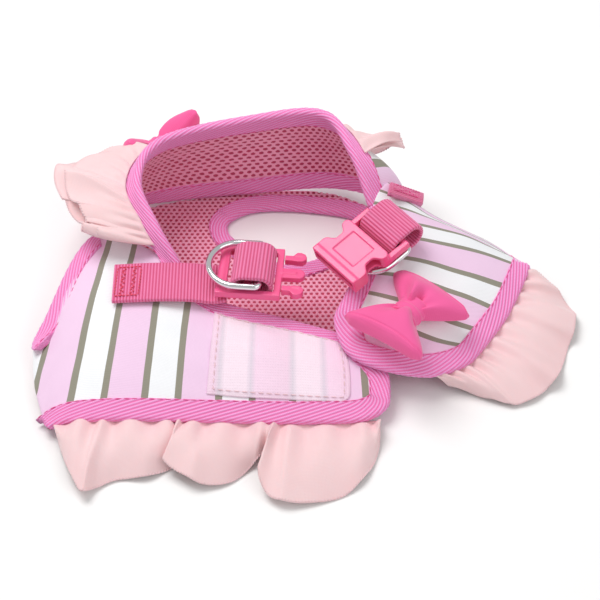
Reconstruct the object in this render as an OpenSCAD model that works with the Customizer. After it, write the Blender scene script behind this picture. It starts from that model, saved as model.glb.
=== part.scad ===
// Pet safety harness vest, laid out open on its belly panel.
// +X is the wearer's left wing side to right wing side, +Y runs towards the chest, +Z is up.

/* [Cloth] */
// Thickness of the printed outer fabric
shell_t = 0.8; // [0.5:0.1:1.0]
// Thickness of the air mesh lining
lining_t = 1.6; // [1.0:0.1:1.8]
// Thickness of the folded binding tape round an edge
binding_t = 3.6; // [3.0:0.1:4.0]
// Visible width of the folded binding tape
binding_w = 9; // [7:0.5:10]
// Thickness of the ruffle cloth
ruffle_t = 0.8; // [0.6:0.1:1.2]

/* [Webbing] */
// Width of the strap webbing
webbing_w = 19; // [15:0.5:19]
// Thickness of the strap webbing
webbing_t = 1.6; // [1.2:0.1:1.8]
// Length of the flat loop that holds the ring and the buckle
loop_l = 16.5; // [16:0.5:18]
// Height of that loop
loop_h = 11; // [10.6:0.1:11.4]

/* [Ring] */
// Diameter of the ring wire
ring_wire = 2.6; // [2.0:0.1:2.6]
// Clear width inside the ring
ring_w = 20.4; // [20.2:0.1:21]
// Length of the straight legs of the ring
ring_leg = 9; // [6:0.5:10]

/* [Buckle] */
// Width of both buckle halves
buckle_w = 25; // [25:0.5:26]
// Thickness of both buckle halves
buckle_t = 6.4; // [6:0.1:6.6]
// Diameter of the strap bars
bar_d = 3; // [2.4:0.1:3.0]

/* [Hidden] */
$fn = 32;
gap = 0.3;
cloth_t = shell_t + lining_t;

// Control nets of the soft panels, as rows of points. Row 0 is the neck side.
left_net = [
    [[27, -26, 12], [-2, -19, 16], [-33, -11, 20], [-47, 3, 25], [-82, 24, 20], [-101, -16, 11], [-104, -26, 5]],
    [[34, -40, 9], [0, -38, 15], [-34, -34, 19], [-58, -24, 22], [-84, -18, 19], [-103, -38, 8], [-105, -43, 4]],
    [[34, -55, 5], [0, -57, 6], [-36, -57, 7], [-66, -57, 8], [-86, -57, 7], [-97, -60, 5], [-99, -61, 4]],
];
chest_net = [
    [[-47, 3, 25], [-56, 14, 36], [-64, 32, 44], [-56, 53, 46], [-20, 64, 48], [9, 65, 50], [20, 46, 46], [28, 29, 32]],
    [[-66, 15, 27], [-73, 27, 30], [-75, 43, 27], [-58, 60, 24], [-20, 67, 26], [14, 67, 28], [34, 50, 34], [41, 42, 24]],
    [[-82, 24, 20], [-86, 40, 13], [-78, 54, 6], [-52, 62, 3], [-20, 65, 4], [14, 64, 8], [40, 54, 10], [48, 51, 4]],
];
side_net = [
    [[28, 29, 32], [48, 24, 28], [70, 20, 20], [94, 13, 10]],
    [[34, 41, 34], [52, 36, 28], [73, 29, 21], [95, 17, 11]],
    [[41, 44, 23], [60, 46, 18], [80, 37, 13], [98, 22, 8]],
    [[48, 51, 4], [65, 49, 4], [84, 38, 4], [100, 24, 4]],
];
flap_net = [
    [[94, 12, 10], [70, 18, 20], [48, 23, 28], [28, 28, 32]],
    [[83, -8, 9], [64, -2, 19], [43, 4, 26], [25, 8, 25]],
    [[71, -24, 8], [54, -22, 15], [36, -16, 21], [19, -10, 22]],
    [[58, -36, 8], [40, -39, 12], [24, -35, 16], [13, -24, 18]],
];
left_ruffle_net = [
    [[32, -57.6, 4.4], [0, -58.2, 5.2], [-36, -58.2, 6.4], [-66, -58.4, 7.2], [-95, -61.6, 4.2]],
    [[33, -74, 2], [4, -78, 5], [-34, -74, 2], [-64, -76, 5], [-90, -78, 2]],
    [[24, -84, 1], [2, -93, 1], [-36, -86, 1], [-62, -84, 4], [-86, -92, 1]],
];
right_ruffle_net = [
    [[95, 10, 9], [85, -9, 8], [73, -25.4, 7], [60, -37.4, 6.6], [44, -41, 8]],
    [[103, 3, 5], [98, -18, 6], [86, -33, 4], [70, -43, 5], [54, -46, 4]],
    [[111, -5, 2], [107, -26, 1], [94, -42, 1], [78, -48, 1], [62, -50, 1]],
];
// Outline of the belly panel, which lies flat on the floor.
belly_outline = [
    [-92, -50], [-95, -38], [-93, -26], [-82, -6], [-74, 14], [-70, 36], [-64, 50], [-52, 57],
    [-20, 59], [12, 59], [40, 48], [58, 44], [78, 34], [90, 20], [84, 2], [66, -16], [40, -27],
    [18, -40], [-30, -49],
];
leg_hole = [[-29, 50], [-30, 43], [-24, 35], [-13, 27], [-2, 24], [14, 31], [28, 40], [24, 51], [2, 56], [-18, 56]];

// Places and turns of the hardware: [position, [roll, pitch, yaw]].
left_loop_at = [[-18, -5.5, 32], [0, 0, -5]];
right_loop_at = [[36, 12.5, 36.3], [0, 15, -141]];
strap_left = [[-73, -7, 25.2], [-60, -7.8, 27], [-49, -8.5, 27.8]];
strap_free = [[-48.5, -8.5, 28.1], [-41, -8.3, 27.3], [-34, -7.8, 25.6], [-28.5, -7, 26]];
tab_hinge = [-48.7, -8.5, 28.9];
strap_right = [[45, 44.5, 31], [43.6, 38.5, 33.2], [42.3, 32, 33.4]];

// Catmull-Rom curve through a list of points; t runs from 0 to len(p) - 1.
function ends(p, i) =
    i < 0 ? 2 * p[0] - p[1] :
    i >= len(p) ? 2 * p[len(p) - 1] - p[len(p) - 2] : p[i];
function blend4(a, b, c, d, t) =
    0.5 * (2 * b + (c - a) * t + (2 * a - 5 * b + 4 * c - d) * t * t + (3 * b - a - 3 * c + d) * t * t * t);
function on_curve(p, t) =
    let (i = min(floor(t), len(p) - 2))
    blend4(ends(p, i - 1), ends(p, i), ends(p, i + 1), ends(p, i + 2), t - i);

// A point of a net's surface; u runs along a row and v from row to row, both from 0 to 1.
function on_net(net, u, v) =
    on_curve([for (row = net) on_curve(row, u * (len(row) - 1))], v * (len(net) - 1));
function unit(a) = a / norm(a);
function net_normal(net, u, v) =
    let (e = 0.01, a = max(0, u - e), b = min(1, u + e), c = max(0, v - e), d = min(1, v + e))
    unit(cross(on_net(net, b, v) - on_net(net, a, v), on_net(net, u, d) - on_net(net, u, c)));
function off_net(net, u, v, o) = on_net(net, u, v) + o * net_normal(net, u, v);

// A closed slab between two offsets of a shape, which is a function of u, v and the offset.
module slab(shape, u, v, o, nu, nv) {
    function at(k, i, j) = k * (nu + 1) * (nv + 1) + i * (nv + 1) + j;
    points = [for (k = [0, 1], i = [0:nu], j = [0:nv])
        shape(u[0] + (u[1] - u[0]) * i / nu, v[0] + (v[1] - v[0]) * j / nv, o[k])];
    top = [for (i = [0:nu - 1], j = [0:nv - 1])
        each [[at(1, i, j), at(1, i, j + 1), at(1, i + 1, j + 1)],
            [at(1, i, j), at(1, i + 1, j + 1), at(1, i + 1, j)]]];
    bottom = [for (i = [0:nu - 1], j = [0:nv - 1])
        each [[at(0, i, j), at(0, i + 1, j + 1), at(0, i, j + 1)],
            [at(0, i, j), at(0, i + 1, j), at(0, i + 1, j + 1)]]];
    along = [for (i = [0:nu - 1])
        each [[at(0, i, 0), at(1, i, 0), at(1, i + 1, 0)], [at(0, i, 0), at(1, i + 1, 0), at(0, i + 1, 0)],
            [at(0, i, nv), at(1, i + 1, nv), at(1, i, nv)], [at(0, i, nv), at(0, i + 1, nv), at(1, i + 1, nv)]]];
    across = [for (j = [0:nv - 1])
        each [[at(0, 0, j), at(1, 0, j + 1), at(1, 0, j)], [at(0, 0, j), at(0, 0, j + 1), at(1, 0, j + 1)],
            [at(0, nu, j), at(1, nu, j), at(1, nu, j + 1)], [at(0, nu, j), at(1, nu, j + 1), at(0, nu, j + 1)]]];
    polyhedron(points, concat(top, bottom, along, across));
}

left = function(u, v, o) off_net(left_net, u, v, o);
chest = function(u, v, o) off_net(chest_net, u, v, o);
side = function(u, v, o) off_net(side_net, u, v, o);
flap = function(u, v, o) off_net(flap_net, u, v, o);
left_skirt = function(u, v, o) off_net(left_ruffle_net, u, v, o);
right_skirt = function(u, v, o) off_net(right_ruffle_net, u, v, o);

// A collar ruffle hangs off the outside of the chest panel and flares away from it.
function flared(reach, drop) = function(u, v, o)
    off_net(chest_net, u, 0.16 + drop * v, 2.4 + reach * on_curve(collar_flare, u * 7) * v + o);
collar_flare = [0.3, 1, 1.1, 0.5, 0.3, 0.35, 0.6, 0.5];

// Offsets of the layers from a panel's middle surface. The lining is on the inside.
outer = [lining_t - cloth_t / 2, cloth_t / 2];
inner = [-cloth_t / 2, lining_t - cloth_t / 2];
taped = [-binding_t / 2, binding_t / 2];
thin = [-ruffle_t / 2, ruffle_t / 2];

module turned(at) {
    translate(at[0]) rotate([0, 0, at[1][2]]) rotate([0, at[1][1], 0]) rotate([at[1][0], 0, 0]) children();
}

// Chest and shoulders
module chest_shell() color("lavenderblush") slab(chest, [0.015, 0.985], [0.13, 0.86], outer, 26, 4);
module chest_lining() color("palevioletred") slab(chest, [0.015, 0.985], [0.13, 0.86], inner, 26, 4);
module chest_neck_binding() color("orchid") slab(chest, [0.005, 0.985], [0, 0.13], taped, 30, 1);
module chest_leg_binding() color("orchid") slab(chest, [0.015, 0.985], [0.86, 1], taped, 30, 1);

// Belly panel, flat on the floor, with the right leg hole through it
hole_middle = [1, 40];
function grown(p, k) = [for (q = p) hole_middle + (q - hole_middle) * k];
module belly(z0, z1) {
    translate([0, 0, z0]) linear_extrude(z1 - z0) difference() {
        polygon(belly_outline);
        polygon(grown(leg_hole, 1.3));
    }
}
module belly_shell() color("lavenderblush") belly(0, shell_t);
module belly_lining() color("palevioletred") belly(shell_t, cloth_t);
module leg_hole_binding() color("orchid") linear_extrude(binding_t) intersection() {
    difference() {
        polygon(grown(leg_hole, 1.3));
        polygon(leg_hole);
    }
    polygon(belly_outline);
}

// Right side, which stays down when the flap is lifted
module side_shell() color("lavenderblush") slab(side, [0.03, 0.86], [0.015, 1], outer, 9, 9);
module side_lining() color("palevioletred") slab(side, [0.03, 0.86], [0.015, 1], inner, 9, 9);
module side_rear_binding() color("orchid") slab(side, [0.86, 1], [0.015, 1], taped, 1, 9);

// Left wing
seam = [0.5, 0.667];
module left_wing_shell() color("lavenderblush") {
    slab(left, [0.07, 1], [0.14, 0.86], outer, 22, 4);
    slab(left, seam, [0.01, 0.14], outer, 4, 1);
}
module left_wing_lining() color("palevioletred") {
    slab(left, [0.07, 1], [0.14, 0.86], inner, 22, 4);
    slab(left, seam, [0.01, 0.14], inner, 4, 1);
}
module left_neck_binding() color("orchid") slab(left, [0, seam[0]], [0, 0.14], taped, 14, 1);
module left_end_binding() color("orchid") slab(left, [0, 0.07], [0.14, 0.86], taped, 1, 6);
module left_rear_binding() color("orchid") slab(left, [0, 1], [0.86, 1], taped, 22, 1);
module left_leg_binding() color("orchid") slab(left, [seam[1], 1], [0, 0.14], taped, 10, 1);
module loop_patch() color("mistyrose") slab(left, [0.08, 0.46], [0.16, 0.84], [cloth_t / 2 + 0.1, cloth_t / 2 + 1.1], 10, 4);
module left_skirt_ruffle() color("pink") slab(left_skirt, [0, 1], [0, 1], thin, 20, 4);

// Right flap
module flap_shell() color("lavenderblush") slab(flap, [0.14, 0.86], [0.03, 0.84], outer, 8, 8);
module flap_lining() color("palevioletred") slab(flap, [0.14, 0.86], [0.03, 0.84], inner, 8, 8);
module flap_neck_binding() color("orchid") slab(flap, [0.86, 1], [0.03, 1], taped, 1, 10);
module flap_end_binding() color("orchid") slab(flap, [0.14, 0.86], [0.84, 1], taped, 8, 1);
module flap_rear_binding() color("orchid") slab(flap, [0, 0.14], [0.03, 1], taped, 1, 10);
module hook_patch() color("white") slab(flap, [0.2, 0.8], [0.5, 0.82], [-cloth_t / 2 - 1.1, -cloth_t / 2 - 0.1], 6, 4);
module right_skirt_ruffle() color("pink") slab(right_skirt, [0, 1], [0, 1], thin, 20, 4);

// Bows: two stuffed loops each side of a knot. X runs from loop to loop.
bow_l = 34;
bow_w = 36;
bow_h = 8;
knot_r = 5;
module bow_loops() {
    for (s = [-1, 1]) scale([s, 1, 1]) hull() {
        translate([knot_r, 0, 0]) sphere(bow_h / 2, $fn = 16);
        for (t = [-1, 1]) translate([bow_l / 2 - bow_h / 3, t * (bow_w - bow_h) / 2, 0]) sphere(bow_h / 3, $fn = 16);
        translate([bow_l / 2 - 7, 0, 0]) scale([1, 2, 1]) sphere(bow_h / 2, $fn = 16);
    }
}
module bow_knot() {
    rotate([90, 0, 0]) difference() {
        cylinder(h = 11, r = knot_r + 1.4, center = true);
        cylinder(h = 12, r = knot_r - 0.4, center = true);
    }
}
back_bow_at = [[43.2, -21.8, 28.2], [0, 8, 52]];
chest_bow_at = [[-67.3, 71.7, 24.6], [-75, 0, 38]];
module back_bow_loops() color("hotpink") turned(back_bow_at) difference() {
    bow_loops();
    rotate([90, 0, 0]) cylinder(h = 40, r = knot_r + 1.5, center = true);
}
module back_bow_knot() color("hotpink") turned(back_bow_at) bow_knot();
module chest_bow_loops() color("hotpink") turned(chest_bow_at) difference() {
    bow_loops();
    rotate([90, 0, 0]) cylinder(h = 40, r = knot_r + 1.5, center = true);
}
module chest_bow_knot() color("hotpink") turned(chest_bow_at) bow_knot();

// Collar ruffle, in two layers
module collar_ruffle_upper() color("pink") slab(flared(21, 0.36), [0.05, 0.86], [0, 1], thin, 26, 3);
module collar_ruffle_lower() color("pink") slab(flared(14, 0.52), [0.05, 0.86], [0.04, 1], thin, 26, 3);

// Straps and their loops. A loop's X runs towards the buckle and its Y along the bars.
strap_across = [0, webbing_w / 2, 0];
strap_right_across = [webbing_w / 2 * 0.86, webbing_w / 2 * 0.36, -webbing_w / 2 * 0.36];
function strap(line, half) = function(u, v, o) on_curve(line, u * (len(line) - 1)) + (2 * v - 1) * half + [0, 0, o];
webbed = [-webbing_t / 2, webbing_t / 2];
module webbing_loop() {
    round_r = loop_h / 2;
    straight = loop_l - loop_h;
    rotate([90, 0, 0]) linear_extrude(webbing_w, center = true) difference() {
        union() {
            square([straight, loop_h], center = true);
            for (s = [-1, 1]) translate([s * straight / 2, 0]) circle(round_r);
        }
        square([straight, loop_h - 2 * webbing_t], center = true);
        for (s = [-1, 1]) translate([s * straight / 2, 0]) circle(round_r - webbing_t);
    }
}
module left_strap() color("palevioletred") slab(strap(strap_left, strap_across), [0, 1], [0, 1], webbed, 6, 1);
module left_strap_end() color("mediumvioletred")
    slab(strap(strap_free, strap_across), [0, 1], [0, 1], webbed, 6, 1);
module left_loop() color("mediumvioletred") turned(left_loop_at) webbing_loop();
module right_strap() color("palevioletred")
    slab(strap(strap_right, strap_right_across), [0, 1], [0, 1], webbed, 4, 1);
module right_loop() color("mediumvioletred") turned(right_loop_at) webbing_loop();

// D-ring: a straight bar in the loop, two legs and a half circle
module d_ring() {
    r = ring_w / 2 + ring_wire / 2;
    rotate([90, 0, 0]) cylinder(h = 2 * r, d = ring_wire, center = true);
    for (s = [-1, 1]) {
        translate([0, s * r, 0]) sphere(d = ring_wire);
        translate([0, s * r, 0]) rotate([0, 90, 0]) cylinder(h = ring_leg, d = ring_wire);
    }
    translate([ring_leg, 0, 0]) intersection() {
        rotate_extrude() translate([r, 0]) circle(d = ring_wire);
        translate([0, -2 * r, -ring_wire]) cube([2 * r, 4 * r, 2 * ring_wire]);
    }
}
left_ring_bar = [3, 0, 2.3];
right_ring_bar = [1, 0, -2.2];
module left_ring() color("silver") turned(left_loop_at) translate(left_ring_bar) rotate([0, 0, 180]) d_ring();
module right_ring() color("silver") turned(right_loop_at) translate(right_ring_bar) d_ring();

// Male half: a frame with two strap bars and a guide tongue, and a sprung prong each side
male_bar = [-2, 0, -2.2];
frame_back = -14;
frame_front = 11.2;
rail_t = 3;
rail_w = 2.2;
tongue_l = 7;
module male_base() color("hotpink") turned(left_loop_at) translate([0, 0, male_bar[2]]) {
    translate([male_bar[0], 0, 0]) rotate([90, 0, 0]) cylinder(h = buckle_w - 1, d = bar_d, center = true);
    for (s = [-1, 1]) translate([(frame_back + frame_front) / 2, s * (buckle_w - rail_w) / 2, 0])
        cube([frame_front - frame_back, rail_w, rail_t], center = true);
    translate([frame_back + 2, 0, 0]) cube([4, buckle_w, rail_t], center = true);
    translate([frame_front - 1.3, 0, 0]) cube([2.6, buckle_w, rail_t], center = true);
    translate([frame_front + tongue_l / 2, 0, 0]) cube([tongue_l, 5, rail_t], center = true);
}
prong_l = 6;
prong_y = 8;
module prong(s) {
    translate([frame_front + gap, s * prong_y, 0]) {
        translate([prong_l / 2, 0, 0]) cube([prong_l, 2.4, rail_t], center = true);
        translate([prong_l, s * 0.6, -rail_t / 2]) cylinder(h = rail_t, r = 2.6);
    }
}
module rear_prong() color("hotpink") turned(left_loop_at) translate([0, 0, male_bar[2]]) prong(1);
module front_prong() color("hotpink") turned(left_loop_at) translate([0, 0, male_bar[2]]) prong(-1);

// Female half: a hollow shell with side windows, open at the mouth, and a strap bar
female_bar = [2, 0, 2];
shell_l = 19;
shell_wall = 1.4;
waist = 4;
module female_body() color("hotpink") turned(right_loop_at) translate(female_bar) {
    rotate([90, 0, 0]) cylinder(h = buckle_w - 1, d = bar_d, center = true);
    for (s = [-1, 1]) translate([4, s * (buckle_w - rail_w) / 2, 0]) cube([10, rail_w, bar_d], center = true);
    translate([8.5 + shell_l / 2, 0, 1.4]) difference() {
        cube([shell_l, buckle_w, buckle_t], center = true);
        translate([2, 0, 0]) cube([shell_l, buckle_w - 2 * shell_wall, buckle_t - 2 * shell_wall], center = true);
        for (s = [-1, 1]) translate([-2, s * (buckle_w / 2 + 1.5), -buckle_t]) cylinder(h = 2 * buckle_t, r = waist + 1);
    }
}

chest_shell();
chest_lining();
chest_neck_binding();
chest_leg_binding();
belly_shell();
belly_lining();
leg_hole_binding();
side_shell();
side_lining();
side_rear_binding();
left_wing_shell();
left_wing_lining();
left_neck_binding();
left_end_binding();
left_rear_binding();
left_leg_binding();
loop_patch();
left_skirt_ruffle();
flap_shell();
flap_lining();
flap_neck_binding();
flap_end_binding();
flap_rear_binding();
hook_patch();
right_skirt_ruffle();
back_bow_loops();
back_bow_knot();
collar_ruffle_upper();
collar_ruffle_lower();
chest_bow_loops();
chest_bow_knot();
left_strap();
left_strap_end();
left_loop();
left_ring();
male_base();
rear_prong();
front_prong();
right_strap();
right_loop();
right_ring();
female_body();
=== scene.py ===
import math

import bmesh
import bpy
import numpy as np
from mathutils import Matrix, Vector


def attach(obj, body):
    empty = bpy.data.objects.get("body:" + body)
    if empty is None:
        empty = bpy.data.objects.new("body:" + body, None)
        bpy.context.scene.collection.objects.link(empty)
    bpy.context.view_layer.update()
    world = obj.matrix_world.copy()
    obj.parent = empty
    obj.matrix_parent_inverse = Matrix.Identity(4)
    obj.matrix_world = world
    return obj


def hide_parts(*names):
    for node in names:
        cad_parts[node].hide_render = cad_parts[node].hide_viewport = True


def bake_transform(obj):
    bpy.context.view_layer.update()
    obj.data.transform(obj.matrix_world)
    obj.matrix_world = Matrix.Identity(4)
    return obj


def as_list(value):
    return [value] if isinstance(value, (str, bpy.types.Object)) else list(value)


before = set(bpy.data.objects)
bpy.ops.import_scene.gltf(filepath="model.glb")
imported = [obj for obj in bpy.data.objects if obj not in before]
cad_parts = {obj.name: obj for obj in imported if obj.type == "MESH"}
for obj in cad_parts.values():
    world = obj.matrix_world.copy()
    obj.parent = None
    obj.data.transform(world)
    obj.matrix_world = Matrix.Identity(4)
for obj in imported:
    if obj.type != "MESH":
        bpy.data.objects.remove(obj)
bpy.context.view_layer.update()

MM = 0.001

# Sizes in millimetres.
SHELL = 1.2          # outer face of a panel, from its middle surface
TAPE_W = 8.2         # binding tape, from the edge inwards
TAPE_H = 1.75        # half the thickness of the binding
WEBBING_W = 19.0
WEBBING_T = 1.6
RING_WIRE = 2.6
RING_INNER = 20.4
RING_LEG = 9.0
STRIPE_REPEAT = 29.2
MESH_PITCH = 2.3     # of the lining's holes, across and along
MESH_ROW = 4.0
TWILL_PITCH = 4.4    # of the binding's slanting strands, along the tape
TWILL_SLANT = 3.2
WEB_RIB = 1.25
TWILL_RIB = 0.22
RUFFLE_T = 0.45
RUFFLE_FLOOR = 0.35  # lowest place of a ruffle's middle surface
FINE = 0.5           # spacing of points along a tape
BAND_STEP = 0.35     # spacing of points along webbing
WHITE = (1, 1, 1, 1)

# Control nets of the panels, as rows of points. Row 0 of the left wing and the chest is the neck side.
LEFT_NET = [
    [(27, -26, 12), (-2, -19, 16), (-33, -11, 20), (-47, 3, 25), (-82, 24, 20), (-101, -16, 11), (-104, -26, 5)],
    [(34, -40, 9), (0, -38, 15), (-34, -34, 19), (-58, -24, 22), (-84, -18, 19), (-100, -38, 8), (-101.5, -43, 4)],
    [(34, -59.5, 5), (0, -61.5, 6), (-36, -61.5, 7), (-66, -61.5, 8), (-86, -61.5, 7), (-94, -62.5, 5),
     (-95.5, -63.5, 4)],
]
CHEST_NET = [
    [(-47, 3, 25), (-56, 14, 36), (-64, 32, 44), (-56, 53, 46), (-20, 64, 48), (9, 65, 50), (20, 46, 46),
     (28, 29, 32)],
    [(-66, 15, 27), (-73, 27, 30), (-75, 43, 27), (-58, 60, 24), (-20, 67, 26), (14, 67, 28), (34, 50, 34),
     (41, 42, 24)],
    [(-82, 24, 20), (-86, 40, 13), (-78, 54, 6), (-52, 62, 3), (-20, 65, 4), (14, 64, 8), (40, 54, 10),
     (48, 51, 4)],
]
RIGHT_NET = [
    [(48, 51, 4), (62, 44, 4), (80, 32, 3), (91, 20.5, 2)],
    [(41, 44, 20.5), (57, 39, 13), (78, 29, 9), (91.5, 18, 5)],
    [(34, 41, 33), (52, 32, 22.5), (74, 24.5, 14.5), (92, 15.5, 8)],
    [(28, 28.5, 32), (48, 23.5, 28), (70, 19, 20), (92, 13, 10)],
    [(25, 8, 25), (43, 4, 26), (64, -2, 19), (83, -8, 9)],
    [(17, -12, 22), (36, -18, 21), (55, -23.5, 15.5), (73.5, -23.5, 8.5)],
    [(10, -26, 19.2), (22, -38, 15.5), (41, -42, 11.5), (61.5, -40, 8)],
]
BELLY_OUTLINE = [
    (-92, -50), (-95, -38), (-93, -26), (-82, -6), (-74, 14), (-72, 37), (-68, 53), (-53, 60.5),
    (-20, 66), (13, 65.5), (41, 50), (56, 42), (74, 31), (85, 18), (82, 2), (66, -16), (40, -27),
    (18, -40), (-30, -49),
]
LEG_HOLE = [(-29, 50), (-30, 43), (-24, 35), (-13, 27), (-2, 24), (14, 31), (28, 40), (24, 51), (2, 56), (-18, 56)]


# ---------------------------------------------------------------- surfaces

def catmull(points, t):
    """Catmull-Rom curve through points, an array (n, ..., 3); t is an array of values from 0 to n - 1."""
    p = np.asarray(points, float)
    t = np.asarray(t, float)
    i = np.clip(np.floor(t).astype(int), 0, len(p) - 2)
    f = (t - i)[..., None]
    padded = np.concatenate([[2 * p[0] - p[1]], p, [2 * p[-1] - p[-2]]])
    a, b, c, d = (padded[i + k] for k in range(4))
    return 0.5 * (2 * b + (c - a) * f + (2 * a - 5 * b + 4 * c - d) * f ** 2 + (3 * b - a - 3 * c + d) * f ** 3)


def unit(a):
    """Vectors along the last axis, at length one."""
    return a / np.maximum(np.linalg.norm(a, axis=-1, keepdims=True), 1e-9)


def tangents(points):
    return unit(np.gradient(points, axis=0))


class Surface:
    """A panel's middle surface. side is +1 where du x dv points outwards, and -1 where it points inwards."""

    def __init__(self, net, side=1):
        self.net = np.array(net, float)
        self.side = side

    def at(self, u, v):
        rows = self.net.shape[0]
        u, v = np.broadcast_arrays(np.asarray(u, float), np.asarray(v, float))
        flat_u = u.ravel() * (self.net.shape[1] - 1)
        flat_v = v.ravel() * (rows - 1)
        per_row = np.stack([catmull(row, flat_u) for row in self.net])
        padded = np.concatenate([[2 * per_row[0] - per_row[1]], per_row, [2 * per_row[-1] - per_row[-2]]])
        i = np.clip(np.floor(flat_v).astype(int), 0, rows - 2)
        f = (flat_v - i)[:, None]
        k = np.arange(len(flat_v))
        a, b, c, d = (padded[i + j, k] for j in range(4))
        out = 0.5 * (2 * b + (c - a) * f + (2 * a - 5 * b + 4 * c - d) * f ** 2 + (3 * b - a - 3 * c + d) * f ** 3)
        return out.reshape(u.shape + (3,))

    def slopes(self, u, v, e=0.004):
        du = (self.at(u + e, v) - self.at(u - e, v)) / (2 * e)
        dv = (self.at(u, v + e) - self.at(u, v - e)) / (2 * e)
        return du, dv

    def normal(self, u, v):
        du, dv = self.slopes(u, v)
        return unit(np.cross(du, dv) * self.side)


LEFT = Surface(LEFT_NET)
CHEST = Surface(CHEST_NET)
RIGHT = Surface(RIGHT_NET, side=-1)


def smooth_step(x):
    x = np.clip(x, 0, 1)
    return x * x * (3 - 2 * x)


def rounded(a, b, u_range, v_range, corners):
    """Maps the unit square onto a u, v rectangle whose named corners are rounded.
    corners is a list of (end of u, end of v, size in u, size in v), with each end 0 or 1."""
    u = u_range[0] + (u_range[1] - u_range[0]) * a
    v = v_range[0] + (v_range[1] - v_range[0]) * b
    for end_u, end_v, size_u, size_v in corners:
        su, sv = (1 if end_u else -1), (1 if end_v else -1)
        p = (su * (u - u_range[end_u]) + size_u) / size_u
        q = (sv * (v - v_range[end_v]) + size_v) / size_v
        inside = (p > 0) & (q > 0)
        p2 = p * np.sqrt(np.maximum(1 - q * q / 2, 0))
        q2 = q * np.sqrt(np.maximum(1 - p * p / 2, 0))
        u = np.where(inside, u_range[end_u] + su * (p2 - 1) * size_u, u)
        v = np.where(inside, v_range[end_v] + sv * (q2 - 1) * size_v, v)
    return u, v


# ---------------------------------------------------------------- meshes

def grid_faces(n, m, close_n=False, close_m=False):
    i = np.arange(n if close_n else n - 1)
    j = np.arange(m if close_m else m - 1)
    i, j = np.meshgrid(i, j, indexing="ij")
    i1, j1 = (i + 1) % n, (j + 1) % m
    return np.stack([i * m + j, i1 * m + j, i1 * m + j1, i * m + j1], -1).reshape(-1, 4)


def add_mesh(name, verts, faces, uv=None, material=None, smooth=True):
    """A mesh object from vertices in millimetres. uv is one pair per vertex, in millimetres."""
    mesh = bpy.data.meshes.new(name)
    verts = np.asarray(verts, float).reshape(-1, 3) * MM
    mesh.from_pydata(verts.tolist(), [], [list(map(int, f)) for f in faces])
    mesh.update()
    if uv is not None:
        layer = mesh.uv_layers.new(name="UVMap")
        index = np.zeros(len(mesh.loops), np.int32)
        mesh.loops.foreach_get("vertex_index", index)
        layer.data.foreach_set("uv", np.asarray(uv, np.float32).reshape(-1, 2)[index].ravel())
    mesh.polygons.foreach_set("use_smooth", [smooth] * len(mesh.polygons))
    obj = bpy.data.objects.new(name, mesh)
    bpy.context.scene.collection.objects.link(obj)
    if material:
        mesh.materials.append(material)
    return obj


def slab(name, top, bottom, uv, material):
    """A closed sheet between two grids of the same shape."""
    n, m = top.shape[:2]
    up = grid_faces(n, m)
    count = n * m
    ring = [(i, 0) for i in range(n)] + [(n - 1, j) for j in range(1, m)]
    ring += [(i, m - 1) for i in range(n - 2, -1, -1)] + [(0, j) for j in range(m - 2, 0, -1)]
    ids = [i * m + j for i, j in ring]
    rim = [(b, a, a + count, b + count) for a, b in zip(ids, ids[1:] + ids[:1])]
    obj = add_mesh(name, np.concatenate([top.reshape(-1, 3), bottom.reshape(-1, 3)]),
                   np.concatenate([up, up[:, ::-1] + count, np.array(rim)]),
                   np.concatenate([uv.reshape(-1, 2)] * 2), material)
    fix_normals(obj)
    return obj


def fix_normals(obj):
    bm = bmesh.new()
    bm.from_mesh(obj.data)
    bmesh.ops.recalc_face_normals(bm, faces=bm.faces)
    bm.to_mesh(obj.data)
    bm.free()


def join(name, objects):
    """Several meshes as one object."""
    bpy.ops.object.select_all(action="DESELECT")
    for o in objects:
        o.select_set(True)
    bpy.context.view_layer.objects.active = objects[0]
    bpy.ops.object.join()
    objects[0].name = name
    objects[0].data.name = name
    return objects[0]


def apply_modifiers(obj):
    bpy.context.view_layer.update()
    graph = bpy.context.evaluated_depsgraph_get()
    mesh = bpy.data.meshes.new_from_object(obj.evaluated_get(graph))
    obj.modifiers.clear()
    obj.data = mesh
    return obj


def arc_length(points):
    steps = np.linalg.norm(np.diff(points, axis=0), axis=-1)
    return np.concatenate([[0], np.cumsum(steps)])


def resample(points, spacing):
    """Points along a polyline at an even spacing, in millimetres."""
    points = np.asarray(points, float)
    s = arc_length(points)
    count = max(2, int(round(s[-1] / spacing)) + 1)
    at = np.linspace(0, s[-1], count)
    return np.stack([np.interp(at, s, points[:, k]) for k in range(points.shape[1])], -1), at


# ---------------------------------------------------------------- materials

def srgb(r, g, b):
    """A colour given in 0 to 255 display values, as linear light."""
    def one(c):
        c = c / 255
        return c / 12.92 if c <= 0.04045 else ((c + 0.055) / 1.055) ** 2.4
    return one(r), one(g), one(b), 1.0


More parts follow.
